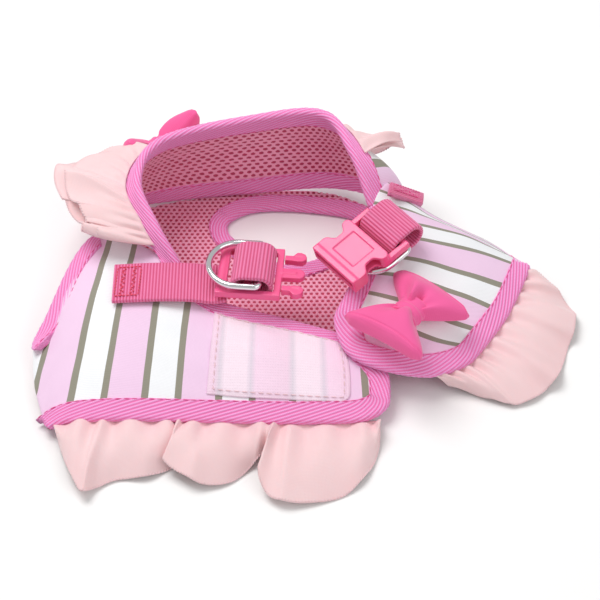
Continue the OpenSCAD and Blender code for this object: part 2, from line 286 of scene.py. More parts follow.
class Nodes:
    """Short helpers to build a material."""

    def __init__(self, name, roughness, **sockets):
        self.material = bpy.data.materials.new(name)
        self.material.use_nodes = True
        self.tree = self.material.node_tree
        self.shader = self.tree.nodes["Principled BSDF"]
        self.shader.inputs["Roughness"].default_value = roughness
        for key, value in sockets.items():
            self.shader.inputs[key.replace("_", " ")].default_value = value

    def add(self, kind, **props):
        node = self.tree.nodes.new(kind)
        for key, value in props.items():
            setattr(node, key, value)
        return node

    def link(self, a, b):
        self.tree.links.new(a, b)

    def math(self, op, a, b=None, c=None):
        node = self.add("ShaderNodeMath", operation=op)
        for i, x in enumerate((a, b, c)):
            if x is None:
                continue
            if isinstance(x, (int, float)):
                node.inputs[i].default_value = x
            else:
                self.link(x, node.inputs[i])
        return node.outputs[0]

    def uv(self):
        """The surface's own millimetres: across and along."""
        node, split = self.add("ShaderNodeUVMap", uv_map="UVMap"), self.add("ShaderNodeSeparateXYZ")
        self.link(node.outputs[0], split.inputs[0])
        return split.outputs[0], split.outputs[1]

    def noise(self, scale, detail, roughness=0.55):
        node = self.add("ShaderNodeTexNoise")
        node.inputs["Scale"].default_value = scale
        node.inputs["Detail"].default_value = detail
        node.inputs["Roughness"].default_value = roughness
        self.link(self.add("ShaderNodeTexCoord").outputs["Object"], node.inputs["Vector"])
        return node.outputs[0]

    def ramp(self, factor, stops, constant=False):
        node = self.add("ShaderNodeValToRGB")
        node.color_ramp.interpolation = "CONSTANT" if constant else "LINEAR"
        elements = node.color_ramp.elements
        while len(elements) < len(stops):
            elements.new(0.5)
        for element, (place, colour) in zip(elements, stops):
            element.position = place
            element.color = colour
        self.link(factor, node.inputs[0])
        return node.outputs[0]

    def mix(self, factor, a, b, blend="MIX"):
        node = self.add("ShaderNodeMix", data_type="RGBA", blend_type=blend)
        for socket, x in ((node.inputs[0], factor), (node.inputs[6], a), (node.inputs[7], b)):
            if isinstance(x, (int, float, tuple)):
                socket.default_value = x
            else:
                self.link(x, socket)
        return node.outputs[2]

    def stripes(self, coordinate, pitch, sharp=1.0):
        """0 to 1 ridges across a coordinate, one each pitch."""
        wave = self.math("SINE", self.math("MULTIPLY", coordinate, 2 * math.pi / pitch))
        half = self.math("MULTIPLY_ADD", wave, 0.5, 0.5)
        return self.math("POWER", half, sharp)

    def bump(self, height, distance, strength=1.0):
        node = self.add("ShaderNodeBump")
        node.inputs["Distance"].default_value = distance * MM
        node.inputs["Strength"].default_value = strength
        self.link(height, node.inputs["Height"])
        self.link(node.outputs[0], self.shader.inputs["Normal"])

    def colour(self, socket):
        self.link(socket, self.shader.inputs["Base Color"])

    def shaded(self, base, factor, dark):
        """A colour that darkens by the given amount where the factor is low."""
        return self.mix(1.0, base, self.mix(factor, dark, WHITE), "MULTIPLY")

    def scatter(self, weight, radius, scale):
        for key, value in (("Weight", weight), ("Radius", radius), ("Scale", scale)):
            self.shader.inputs["Subsurface " + key].default_value = value


def weave_height(m, pitch):
    """A plain weave: threads over and under in both directions."""
    across, along = m.uv()
    a = m.stripes(across, pitch)
    b = m.stripes(along, pitch)
    return m.math("MULTIPLY", m.math("ADD", a, b), 0.5)


def striped_cloth():
    m = Nodes("striped_cloth", 0.72, Sheen_Weight=0.15, Sheen_Roughness=0.5)
    across, _ = m.uv()
    wobble = m.math("MULTIPLY_ADD", m.noise(45, 2), 0.5, -0.25)
    place = m.math("FRACT", m.math("DIVIDE", m.math("ADD", across, wobble), STRIPE_REPEAT))
    pink, dark, white = srgb(249, 213, 241), srgb(150, 146, 130), srgb(252, 253, 255)
    print_colour = m.ramp(place, [(0.0, pink), (0.452, dark), (0.548, white), (0.904, dark)], constant=True)
    # Painted shade: the print is darker in the hollows between the threads of the weave.
    weave_shaded_print = m.shaded(print_colour, weave_height(m, 0.5), (0.90, 0.90, 0.90, 1))
    m.colour(m.shaded(weave_shaded_print, m.noise(60, 3), (0.95, 0.95, 0.96, 1)))
    m.bump(weave_height(m, 0.5), 0.12, 0.6)
    return m.material


def air_mesh():
    """Open knit: rows of small holes, staggered, on a pink ground, with painted shade in the holes."""
    m = Nodes("air_mesh", 0.8, Sheen_Weight=0.3, Sheen_Roughness=0.5)
    across, along = m.uv()

    def squared(coordinate, pitch, shift):
        cell = m.math("FRACT", m.math("ADD", m.math("DIVIDE", coordinate, pitch), shift))
        away = m.math("MULTIPLY", m.math("SUBTRACT", cell, 0.5), pitch)
        return m.math("MULTIPLY", away, away)

    def lattice(shift):
        return m.math("SQRT", m.math("ADD", squared(across, MESH_PITCH, shift), squared(along, MESH_ROW, shift)))

    near = m.math("MINIMUM", lattice(0.0), lattice(0.5))
    ground = m.mix(m.noise(80, 3), srgb(245, 152, 186), srgb(254, 188, 211))
    # Painted shade: the holes get a dark magenta that stands in for the shade inside them.
    hole = m.mix(m.noise(120, 2), srgb(184, 50, 84), srgb(204, 76, 108))
    edge = m.ramp(m.math("DIVIDE", near, MESH_PITCH), [(0.26, (0, 0, 0, 1)), (0.34, (1, 1, 1, 1))])
    m.colour(m.mix(edge, hole, ground))
    m.bump(m.stripes(across, 0.6), 0.1, 0.5)
    return m.material


def tape_material():
    m = Nodes("binding_tape", 0.62, Sheen_Weight=0.5, Sheen_Roughness=0.45)
    m.shader.inputs["Sheen Tint"].default_value = srgb(255, 190, 235)
    across, along = m.uv()
    rib = m.stripes(m.math("ADD", along, m.math("MULTIPLY", across, TWILL_SLANT)), TWILL_PITCH, 0.8)
    yarn = m.stripes(m.math("SUBTRACT", along, m.math("MULTIPLY", across, 0.6)), 0.8)
    rib_highlight = m.math("MULTIPLY", rib, m.math("MULTIPLY_ADD", yarn, 0.45, 0.6))
    # Painted highlight on the raised twill ribs and painted shade in the grooves: lighter where the ribs stand up.
    base = m.mix(rib_highlight, srgb(250, 116, 186), srgb(255, 186, 238))
    m.colour(m.shaded(base, m.noise(90, 3), (0.94, 0.90, 0.93, 1)))
    m.bump(m.math("ADD", rib, m.math("MULTIPLY", yarn, 0.5)), 0.3, 0.6)
    return m.material


def webbing_material():
    m = Nodes("webbing", 0.5, Sheen_Weight=0.4, Sheen_Roughness=0.4)
    across, along = m.uv()
    rib = m.stripes(along, WEB_RIB, 0.7)
    yarn = m.stripes(across, 0.7)
    # Painted highlight on the raised ribs of the webbing and painted shade between them: lighter where the ribs stand
    # up.
    base = m.mix(rib, srgb(214, 66, 116), srgb(243, 128, 178))
    m.colour(m.shaded(base, m.noise(120, 3), (0.88, 0.84, 0.86, 1)))
    m.bump(m.math("ADD", rib, m.math("MULTIPLY", yarn, 0.5)), 0.2, 0.6)
    return m.material


def plain_cloth(name, lit, painted_shade, pitch, scatter=0.0):
    m = Nodes(name, 0.75, Sheen_Weight=0.25, Sheen_Roughness=0.5)
    if scatter:
        m.scatter(scatter, (1.0, 0.35, 0.3), 0.003)
    fine = weave_height(m, pitch)
    # Painted light and shade: patches of the lit colour and the shaded colour, mixed by noise.
    base = m.mix(m.noise(35, 4), painted_shade, lit)
    # Painted shade: darker in the hollows between the threads of the weave.
    m.colour(m.shaded(base, fine, (0.93, 0.91, 0.92, 1)))
    m.bump(m.math("ADD", fine, m.noise(300, 2)), 0.09, 0.5)
    return m.material


def loop_tape_material():
    """Brushed loop pile over a faint print that shows through."""
    m = Nodes("loop_tape", 0.85, Sheen_Weight=0.6, Sheen_Roughness=0.6)
    across, along = m.uv()
    place = m.math("FRACT", m.math("DIVIDE", across, STRIPE_REPEAT))
    wide = m.ramp(place, [(0.0, srgb(252, 220, 240)), (0.43, srgb(246, 214, 233)), (0.50, srgb(228, 214, 226)),
                          (0.57, srgb(253, 232, 244)), (0.86, srgb(253, 232, 244)), (0.93, srgb(230, 214, 228)),
                          (1.0, srgb(252, 220, 240))])
    grid = m.math("MULTIPLY", m.stripes(across, 1.0), m.stripes(along, 1.0))
    m.colour(m.shaded(wide, m.noise(400, 4, roughness=0.8), (0.93, 0.91, 0.93, 1)))
    m.bump(m.math("ADD", m.noise(500, 4, roughness=0.8), m.math("MULTIPLY", grid, 0.5)), 0.25, 0.7)
    return m.material


def chrome_material():
    m = Nodes("ring_steel", 0.09, Metallic=1.0)
    m.colour(m.mix(m.noise(60, 3), (0.72, 0.72, 0.74, 1), (0.88, 0.88, 0.89, 1)))
    m.link(m.math("MULTIPLY_ADD", m.noise(200, 4), 0.10, 0.05), m.shader.inputs["Roughness"])
    m.bump(m.noise(350, 2), 0.02, 0.4)
    return m.material


def plastic_material():
    m = Nodes("buckle_plastic", 0.34, Coat_Weight=0.25, Coat_Roughness=0.2)
    m.scatter(0.15, (1.0, 0.3, 0.35), 0.002)
    m.colour(m.mix(m.noise(50, 3), srgb(240, 82, 138), srgb(248, 102, 157)))
    m.link(m.math("MULTIPLY_ADD", m.noise(250, 3), 0.12, 0.27), m.shader.inputs["Roughness"])
    m.bump(m.noise(900, 3), 0.02, 0.5)
    return m.material


def thread_material(name, colour):
    m = Nodes(name, 0.45, Sheen_Weight=0.4)
    m.colour(m.mix(m.noise(600, 2), tuple(0.8 * c for c in colour[:3]) + (1,), colour))
    m.bump(m.noise(1500, 2), 0.05, 0.5)
    return m.material


STRIPED = striped_cloth()
AIR_MESH = air_mesh()
TAPE = tape_material()
WEBBING = webbing_material()
# Each cloth below gets a lit colour and a shaded colour: painted light and shade.
RUFFLE = plain_cloth("ruffle_cloth", srgb(252, 219, 220), srgb(246, 201, 203), 0.45, scatter=0.12)
BOW = plain_cloth("bow_cloth", srgb(250, 104, 172), srgb(238, 82, 146), 0.55)
LOOP_TAPE = loop_tape_material()
HOOK_TAPE = plain_cloth("hook_tape", srgb(250, 246, 249), srgb(236, 230, 235), 0.9)
CHROME = chrome_material()
PLASTIC = plastic_material()
THREAD_PINK = thread_material("thread_pink", srgb(240, 70, 150))
THREAD_RED = thread_material("thread_red", srgb(238, 52, 96))
THREAD_PALE = thread_material("thread_pale", srgb(250, 214, 218))


# ---------------------------------------------------------------- cloth panels

def left_stripe(p):
    """The print's own coordinate on the left wing, where the stripes lean together towards the shoulder."""
    t = (p[..., 1] + 57) / 47
    return (p[..., 0] * (1.029 - 0.029 * t) - 1.45 + 1.13 * t) / (1 - 0.118 * t) + 77.4


def right_stripe(u, v):
    """The print's own coordinate on the right side and flap."""
    lean = 0.15 * np.clip((0.8 - v) / 0.25, 0, 1)
    return (v + lean * (u - 0.6) - 0.7165) / 0.157 * STRIPE_REPEAT


def wrinkles(u, v, size, seed):
    """Shallow folds that fade out at the panel's edges."""
    rng = np.random.default_rng(seed)
    total = np.zeros_like(u)
    for _ in range(7):
        angle, phase = rng.uniform(0, math.pi), rng.uniform(0, 2 * math.pi)
        count = rng.uniform(2.0, 6.0)
        total += np.sin(2 * math.pi * count * (u * math.cos(angle) + v * math.sin(angle)) + phase) / count
    fade = smooth_step(np.minimum(np.minimum(u, 1 - u), np.minimum(v, 1 - v)) * 6)
    return size * total * fade


def panel_grid(surface, u_range, v_range, corners, n, m):
    a, b = np.meshgrid(np.linspace(0, 1, n), np.linspace(0, 1, m), indexing="ij")
    u, v = rounded(a, b, u_range, v_range, corners)
    return a, b, u, v, surface.at(u, v), surface.normal(u, v)


def outer_cloth(name, surface, u_range, v_range, corners, n, m, stripe, seed, wrinkle=0.35):
    a, b, u, v, p, normal = panel_grid(surface, u_range, v_range, corners, n, m)
    lift = (SHELL + wrinkles(a, b, wrinkle, seed))[..., None]
    along = np.linalg.norm(np.diff(p, axis=1), axis=-1).mean(0)
    along = np.broadcast_to(np.concatenate([[0], np.cumsum(along)]), u.shape)
    uv = np.stack([stripe(p, u, v), along], -1)
    return slab(name, p + normal * lift, p + normal * (lift - 0.7), uv, STRIPED)


def hole_depth(across, along):
    """How far the knit sinks, 0 to 1, at a place on the lining."""
    def near(shift):
        x = ((across / MESH_PITCH + shift) % 1 - 0.5) * MESH_PITCH
        y = ((along / MESH_ROW + shift) % 1 - 0.5) * MESH_ROW
        return np.sqrt(x * x + y * y)
    d = np.minimum(near(0.0), near(0.5)) / MESH_PITCH
    return 1 - smooth_step((d - 0.22) / 0.14)


def mesh_lining(name, surface, u_range, v_range, corners, step, depth=0.55):
    """The lining, with its holes as real dents, about one grid step apart in millimetres."""
    a, b, u, v, p, normal = panel_grid(surface, u_range, v_range, corners, 24, 24)
    long_u = np.linalg.norm(np.diff(p, axis=0), axis=-1).sum(0).mean()
    long_v = np.linalg.norm(np.diff(p, axis=1), axis=-1).sum(1).mean()
    n, m = int(long_u / step), int(long_v / step)
    a, b, u, v, p, normal = panel_grid(surface, u_range, v_range, corners, n, m)
    across, along = a * long_u, b * long_v
    inner = -1.2 + depth * hole_depth(across, along)[..., None]
    uv = np.stack([across, along], -1)
    return slab(name, p + normal * 0.4, p + normal * inner, uv, AIR_MESH)


LEFT_CORNERS = [(0, 0, 0.07, 0.22), (0, 1, 0.07, 0.22)]
FLAP_CORNERS = [(0, 1, 0.26, 0.10), (1, 1, 0.21, 0.09)]
UNIT = (0.0, 1.0)


# ---------------------------------------------------------------- binding tape

def tape_profile():
    """Points of the folded tape's section as (inwards from the edge, out of the surface, distance along it)."""
    flat = np.linspace(TAPE_W, 1.5, 19)
    top = [(TAPE_W + 0.05, SHELL - 0.1), (TAPE_W - 0.05, TAPE_H - 0.1)] + [(d, TAPE_H) for d in flat[1:]]
    bend = [(1.5 - 1.7 * math.sin(t), TAPE_H * math.cos(t)) for t in np.linspace(0, math.pi, 11)[1:-1]]
    bottom = [(d, -h) for d, h in reversed(top)]
    points = np.array(top + bend + bottom)
    return points, arc_length(points)


PROFILE, PROFILE_S = tape_profile()


def tape_rings(surface, path):
    """The tape round an edge of a surface. path is a list of u, v pairs along the edge, with the panel on its left
    when seen from outside. Returns one ring of points across the tape for each place along it."""
    path = np.asarray(path, float)
    fine = catmull(path, np.linspace(0, len(path) - 1, 12 * len(path)))
    world = surface.at(fine[:, 0], fine[:, 1])
    s = arc_length(world)
    at = np.linspace(0, s[-1], max(8, int(s[-1] / FINE)))
    u, v = np.interp(at, s, fine[:, 0]), np.interp(at, s, fine[:, 1])
    edge = surface.at(u, v)
    inward = unit(np.cross(surface.normal(u, v), tangents(edge)))
    basis = np.stack(surface.slopes(u, v), -1)
    step = np.einsum("nij,nj->ni", np.linalg.pinv(basis), inward)
    return ease_inner(ring_points(surface, u, v, step, inward))


def ring_points(surface, u, v, step, inward):
    rings = []
    for d, h in PROFILE:
        inside = max(d, 0.0)
        p = surface.at(u + step[:, 0] * inside, v + step[:, 1] * inside)
        n = surface.normal(u + step[:, 0] * inside * 0.9, v + step[:, 1] * inside * 0.9)
        rings.append(p + n * h + inward * (d - inside))
    return np.stack(rings, 1)


def ease_inner(rings, rounds=36):
    """Evens out the tape's inner edge, which would fold over itself inside a tight corner."""
    out = rings.copy()
    weight = 0.5 * smooth_step((PROFILE[:, 0] - 2.0) / 6.0)[None, :, None]
    for _ in range(rounds):
        middle = 0.5 * (out[:-2] + out[2:])
        out[1:-1] += weight * (middle - out[1:-1])
    return out


def leg_rings(surface, path):
    """Tape rings along an edge where the panel's own u and v nearly line up: the tape is laid level across it."""
    edge, _ = resample(surface.at(path[:, 0], path[:, 1]), FINE)
    tangent = tangents(edge)
    inner = surface.at(path[:, 0] * 0.8 + 0.13, np.full(len(path), 0.3))
    inner, _ = resample(inner, arc_length(inner)[-1] / (len(edge) - 1))
    inner = inner[np.linspace(0, len(inner) - 1, len(edge)).astype(int)]
    inward = inner - edge
    inward = unit(inward - tangent * np.sum(inward * tangent, 1, keepdims=True))
    for _ in range(60):
        inward[1:-1] = 0.5 * inward[1:-1] + 0.25 * (inward[:-2] + inward[2:])
    inward = unit(inward)
    normal = np.cross(tangent, inward)
    return edge[:, None] + inward[:, None] * PROFILE[None, :, :1] + normal[:, None] * PROFILE[None, :, 1:]


def tape_from_rings(name, rings):
    """The tape's mesh with its twill ribs, and the row of stitches along its inner edge on both faces."""
    n, m = rings.shape[:2]
    along = arc_length(rings[:, m // 2])
    normal = unit(np.cross(np.gradient(rings, axis=1), np.gradient(rings, axis=0)))
    centre = rings.mean(1, keepdims=True)
    outward = np.sign(np.sum((rings[:, m // 2] - centre[:, 0]) * normal[:, m // 2], -1).mean())
    phase = 2 * math.pi * (along[:, None] + TWILL_SLANT * PROFILE_S[None, :]) / TWILL_PITCH
    fade = smooth_step(np.minimum(PROFILE_S, PROFILE_S[-1] - PROFILE_S) / 1.0)
    body = rings + normal * outward * (TWILL_RIB * np.sin(phase) * fade)[..., None]
    uv = np.stack([np.broadcast_to(PROFILE_S, (n, m)), np.broadcast_to(along[:, None], (n, m))], -1)
    closing = [(i * m + m - 1, i * m, (i + 1) * m, (i + 1) * m + m - 1) for i in range(n - 1)]
    caps = [tuple(range(m)), tuple(range((n - 1) * m, n * m))[::-1]]
    obj = add_mesh(name, body, [tuple(f) for f in grid_faces(n, m)] + closing + caps, uv, TAPE)
    fix_normals(obj)
    lines = [rings[:, k] + normal[:, k] * outward * 0.08 for k in (2, m - 3)]
    threads = dashes(name + "_stitch", lines, 2.3, 0.9, 0.22, THREAD_PINK)
    return join(name, [obj, threads])


# ---------------------------------------------------------------- thread

def tube_rings(points, radius, sides):
    points = np.asarray(points, float)
    tangent = tangents(points)
    side = np.cross(tangent, (0.0, 0.0, 1.0))
    flat = np.linalg.norm(side, axis=1) < 1e-3
    side[flat] = (1.0, 0.0, 0.0)
    side = unit(side)
    third = np.cross(side, tangent)
    angle = np.linspace(0, 2 * math.pi, sides, endpoint=False)
    radius = np.broadcast_to(radius, (len(points),))
    ring = side[:, None] * np.cos(angle)[None, :, None] + third[:, None] * np.sin(angle)[None, :, None]
    return points[:, None] + ring * radius[:, None, None]


def skin(name, rings, across, along, material, closed):
    """A closed surface over rings of points, with a cap at each end unless the last ring meets the first."""
    n, m = rings.shape[:2]
    uv = np.stack(np.broadcast_arrays(across[None, :], along[:, None]), -1)
    faces = [tuple(f) for f in grid_faces(n, m, close_n=closed, close_m=True)]
    if not closed:
        faces += [tuple(range(m)), tuple(range((n - 1) * m, n * m))[::-1]]
    obj = add_mesh(name, rings, faces, uv, material)
    fix_normals(obj)
    return obj


def tube(name, points, radius, material, sides, closed=False):
    return skin(name, tube_rings(points, radius, sides), np.arange(sides) * 0.3, arc_length(points), material, closed)


def dashes(name, lines, length, space, radius, material):
    """Sewn stitches along lines, each a short thread that dips in at both ends."""
    verts, faces, uvs = [], [], []
    shape = np.array([0.25, 0.85, 1.0, 0.85, 0.25])
    for line in lines:
        line = np.asarray(line, float)
        s = arc_length(line)
        start = space / 2
        while start + length < s[-1]:
            at = np.linspace(start, start + length, 5)
            points = np.stack([np.interp(at, s, line[:, k]) for k in range(3)], -1)
            rings = tube_rings(points, radius * shape, 5)
            base = len(verts) * 25
            verts.append(rings.reshape(-1, 3))
            uvs.append(np.zeros((25, 2)))
            faces += [tuple(f + base) for f in grid_faces(5, 5, close_m=True)]
            faces += [tuple(range(base + 4, base - 1, -1)), tuple(range(base + 20, base + 25))]
            start += length + space
    return add_mesh(name, np.concatenate(verts), faces, np.concatenate(uvs), material)


def zigzag(a, b, half, pitch, normal):
    """A zigzag line of stitches from a to b."""
    a, b = np.array(a, float), np.array(b, float)
    length = np.linalg.norm(b - a)
    along = (b - a) / length
    side = unit(np.cross(normal, along))
    count = int(length / pitch)
    return [a + along * length * i / count + side * half * (1 if i % 2 else -1) for i in range(count + 1)]


# ---------------------------------------------------------------- webbing

def webbing_band(name, centre, across, out, closed=False):
    """A band of ribbed webbing. centre is its middle line, with one across and one out direction per point."""
    across, out = unit(across), unit(out)
    half_w, half_t = WEBBING_W / 2, WEBBING_T / 2
    flat = np.linspace(-1, 1, 25)
    section = []
    for side in (1, -1):
        section += [(half_w * x * side, half_t * side) for x in flat]
        section += [(side * (half_w + half_t * 0.55 * math.sin(t)), side * half_t * math.cos(t))
                    for t in (0.8, 1.57, 2.35)]
    section = np.array(section)
    s = arc_length(np.concatenate([centre, centre[:1]]) if closed else centre)
    scale = round(s[-1] / WEB_RIB) * WEB_RIB / s[-1] if closed else 1.0
    along = (s[:-1] if closed else s) * scale
    rib = 0.16 * np.sin(2 * math.pi * along / WEB_RIB)
    face = np.sign(section[:, 1]) * (np.abs(section[:, 0]) <= half_w)
    height = section[None, :, 1] + rib[:, None] * face[None, :]
    rings = centre[:, None] + across[:, None] * section[None, :, :1] + out[:, None] * height[..., None]
    return skin(name, rings, arc_length(section), along, WEBBING, closed)


class Place:
    """Where a piece of hardware sits, from its position in millimetres and its roll, pitch and yaw in degrees."""

    def __init__(self, position, turn):
        roll, pitch, yaw = (math.radians(a) for a in turn)
        turned = Matrix.Rotation(yaw, 3, "Z") @ Matrix.Rotation(pitch, 3, "Y") @ Matrix.Rotation(roll, 3, "X")
        self.turn = np.array(turned)
        self.position = np.array(position, float)

    def __call__(self, points):
        return np.asarray(points, float) @ self.turn.T + self.position

    def direction(self, vector):
        return self.turn @ np.array(vector, float)

    def put(self, obj):
        """Moves a mesh that was made in the hardware's own frame, in millimetres scaled to metres."""
        m = Matrix(self.turn.tolist()).to_4x4()
        m.translation = Vector(self.position * MM)
        obj.data.transform(m)
        obj.data.update()
        return obj


LEFT_AT = Place((-18, -5.5, 32), (0, 0, -5))
RIGHT_AT = Place((36, 12.5, 36.3), (0, 15, -141))
LOOP_L, LOOP_H = 16.5, 11.0


def loop_line():
    """The middle line of a webbing loop in its own X and Z, and the outward direction along it."""
    r = LOOP_H / 2 - WEBBING_T / 2
    half = (LOOP_L - LOOP_H) / 2
    steps, run = int(math.pi * r / BAND_STEP), int(2 * half / BAND_STEP)
    line = [(half + r * math.sin(t), r * math.cos(t)) for t in np.linspace(0, math.pi, steps, endpoint=False)]
    line += [(x, -r) for x in np.linspace(half, -half, run, endpoint=False)]
    line += [(-half - r * math.sin(t), -r * math.cos(t)) for t in np.linspace(0, math.pi, steps, endpoint=False)]
    line += [(x, r) for x in np.linspace(-half, half, run, endpoint=False)]
    line = np.array(line)
    tangent = np.roll(line, -1, 0) - np.roll(line, 1, 0)
    out = np.stack([-tangent[:, 1], tangent[:, 0]], -1)
    return line, out


def webbing_loop(name, place):
    line, out = loop_line()
    n = len(line)
    zero = np.zeros(n)
    centre = place(np.stack([line[:, 0], zero, line[:, 1]], -1))
    outward = np.stack([out[:, 0], zero, out[:, 1]], -1) @ place.turn.T
    across = np.tile(place.direction((0, 1, 0)), (n, 1))
    return webbing_band(name, centre, across, outward, closed=True)


def strap(name, points, across):
    """A flat strap along a curve, and its middle line."""
    centre = resample(catmull(points, np.linspace(0, len(points) - 1, 40 * len(points))), BAND_STEP)[0]
    tangent = np.gradient(centre, axis=0)
    across = np.tile(np.array(across, float), (len(centre), 1))
    out = np.cross(tangent, across)
    out *= np.sign(out[:, 2:3].mean())
    return webbing_band(name, centre, across, out), centre


# ---------------------------------------------------------------- ruffles

def wave_sum(s, waves):
    return sum(size * np.sin(2 * math.pi * s * count + phase) for size, count, phase in waves)


def ruffle(name, base, hem, up, waves, sideways, gathers, reach, columns, rows=34):
    """A gathered strip from a sewn line to a hem. base, hem and up are functions of s, 0 to 1.
    waves are (size, count, phase) of the folds at the hem, sideways how far a fold leans over,
    gathers (size, count) the small pleats at the seam, and reach how the depth curves."""
    s, v = np.meshgrid(np.linspace(0, 1, columns), np.linspace(0, 1, rows), indexing="ij")
    b, h, n = base(s[:, 0]), hem(s[:, 0]), up(s[:, 0])
    bow = np.sin(math.pi * v)[..., None] * n[:, None] * reach
    p = b[:, None] * (1 - v[..., None]) + h[:, None] * v[..., None] + bow
    grow = smooth_step(v * 1.15)
    fold = wave_sum(s, waves) * grow
    lean = wave_sum(s, [(sideways * size, count, phase + 1.2) for size, count, phase in waves]) * grow
    size, count = gathers
    pleat = size * np.sin(2 * math.pi * count * s + 2.0 * np.sin(9 * s))
    pleat = pleat * (1 - smooth_step(v / 0.8)) * smooth_step(v * 8)
    p = p + n[:, None] * (fold + pleat)[..., None] + tangents(h)[:, None] * lean[..., None]
    z = p[..., 2]
    settled = RUFFLE_FLOOR + 0.12 * (np.exp(np.minimum(z - RUFFLE_FLOOR, 0)) - 1) + 0.12
    p[..., 2] = np.where(z < RUFFLE_FLOOR, settled, z)
    normal = unit(np.cross(np.gradient(p, axis=0), np.gradient(p, axis=1)))
    along = arc_length(p[:, rows // 2])
    down = arc_length(p[columns // 2])
    uv = np.stack(np.broadcast_arrays(down[None, :], along[:, None]), -1)
    cloth = slab(name, p + normal * RUFFLE_T / 2, p - normal * RUFFLE_T / 2, uv, RUFFLE)
    return cloth, overlocked(name + "_overlock", p[:, -1], normal[:, -1], p[:, -1] - p[:, -3])


def overlocked(name, edge, normal, outward):
    """The thread rolled over a raw hem: one fine coil that follows the edge."""
    line, s = resample(np.concatenate([edge, normal, outward], 1), 0.30)
    p, n, o = line[:, :3], unit(line[:, 3:6]), unit(line[:, 6:9])
    turn = 2 * math.pi * s / 1.25
    coil = p - o * 0.35 + (n * np.cos(turn)[:, None] + o * np.sin(turn)[:, None]) * 0.42
    coil[:, 2] = np.maximum(coil[:, 2], 0.25)
    return tube(name, coil, 0.24, THREAD_PALE, sides=5)


def curve_of(points):
    points = np.array(points, float)
    return lambda s: catmull(points, s * (len(points) - 1))


def fixed(vector):
    return lambda s: np.broadcast_to(unit(np.array(vector, float)), s.shape + (3,))


# ---------------------------------------------------------------- bows

def bow_lobe(name, side, length, width, height, seed=0):
    """One loop of a bow, pleated at the knot and folded along its outer end. X runs outwards."""
    n, m = 100, 110
    rng = np.random.default_rng(seed)
    t, w = np.meshgrid(np.linspace(0, 1, n), np.sin(np.linspace(-1, 1, m) * math.pi / 2), indexing="ij")
    spread = smooth_step(t * 1.05) * 0.35 + 0.65 * np.clip(t, 0, 1) ** 0.8
    half = 4.4 + (width / 2 - 4.4) * spread
    corner = 1 - 0.07 * smooth_step((np.abs(w) - 0.72) / 0.28) * smooth_step((t - 0.8) / 0.2)
    x = 1.6 + (length / 2 - 1.6) * t * (1 - 0.05 * w ** 2 + 0.03 * np.cos(3 * w + seed)) * corner
    y = half * w * corner
    side_edge = np.sqrt(np.clip(1 - np.abs(w) ** 5, 0, 1))
    end_fold = np.sqrt(np.clip(1 - ((t - 0.93) / 0.07).clip(0, 1) ** 2, 0, 1))
    puff = 2.0 + (height - 4.6) * np.sin(math.pi * (0.12 + 0.79 * t)) ** 1.2 * (1 - 0.55 * w ** 2)
    pleats = np.zeros_like(t)
    for count, strength in ((2.3, 0.9), (3.9, 0.9), (6.1, 0.5)):
        pleats += strength * np.cos(count * math.pi * w * 0.5 + rng.uniform(0, 2 * math.pi))
    fade = (1 - smooth_step((t - 0.12) / 0.75)) * smooth_step(t * 7 + 0.2)
    tuck = np.exp(-((w + 0.12 * side) / 0.13) ** 2) * np.exp(-((t - 0.2) / 0.2) ** 2)
    seam = 0.4 * np.exp(-((t - 0.895) / 0.016) ** 2) * (np.abs(w) < 0.97)
    top = (puff * side_edge + 1.25 * pleats * fade - 3.0 * tuck - seam) * (0.2 + 0.8 * end_fold) + 0.5
    bottom = -(1.2 + 0.45 * puff) * side_edge * (0.2 + 0.8 * end_fold) - 0.25 * pleats * fade - 0.5
    droop = -1.2 * w ** 2 * smooth_step(t) + 0.5 * np.sin(2.2 * w + seed) * smooth_step(t)
    upper = np.stack([x * side, y, top + droop], -1)
    lower = np.stack([x * side, y, np.minimum(bottom, top - 0.9) + droop], -1)
    return slab(name, upper, lower, np.stack([y, x], -1), BOW)


def bow_band(name, width, radius_y, radius_z):
    """The band round the middle, with soft pleats along it."""
    n, m = 64, 40
    angle = np.linspace(0, 2 * math.pi, n, endpoint=False)
    x = np.linspace(-1, 1, m)
    angle, x = np.meshgrid(angle, x, indexing="ij")
    fold = 0.28 * np.cos(x * 7.5 + 0.6 * np.sin(angle)) + 0.12 * np.cos(x * 15)
    pinch = 1 - 0.10 * (1 - x ** 2)
    roll = np.sqrt(np.clip(1 - (np.abs(x) - 0.8).clip(0, 1) ** 2 / 0.04, 0, 1))
    ry = (radius_y + fold) * pinch * (0.86 + 0.14 * roll)
    rz = (radius_z + fold) * pinch * (0.82 + 0.18 * roll)
    p = np.stack([x * width / 2, ry * np.cos(angle), rz * np.sin(angle)], -1)
    uv = np.stack([x * width / 2, angle * radius_z], -1)
    faces = [tuple(f) for f in grid_faces(n, m, close_n=True)]
    obj = add_mesh(name, p, faces, uv, BOW)
    solid = obj.modifiers.new("thickness", "SOLIDIFY")
    solid.thickness = 0.8 * MM
    solid.offset = -1
    apply_modifiers(obj)
    return obj


# ================================================================ the vest

def finish_piece(obj, body, slot, nodes=()):
    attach(obj, body)
    if nodes:
        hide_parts(*nodes)
    return obj


def panel(names, surface, spans, corners, cloth_grid, stripe, seed, mesh_step, finish, wrinkle=0.35):
    """A panel's printed cloth outside and its air mesh inside. finish takes a piece, its slot and its index."""
    cloth_piece = outer_cloth(names[0], surface, *spans, corners, *cloth_grid, stripe, seed, wrinkle)
    finish(cloth_piece, "striped_cloth", 0)
    mesh_piece = mesh_lining(names[1], surface, *spans, corners, mesh_step)
    finish(mesh_piece, "air_mesh", 1)
    return cloth_piece, mesh_piece


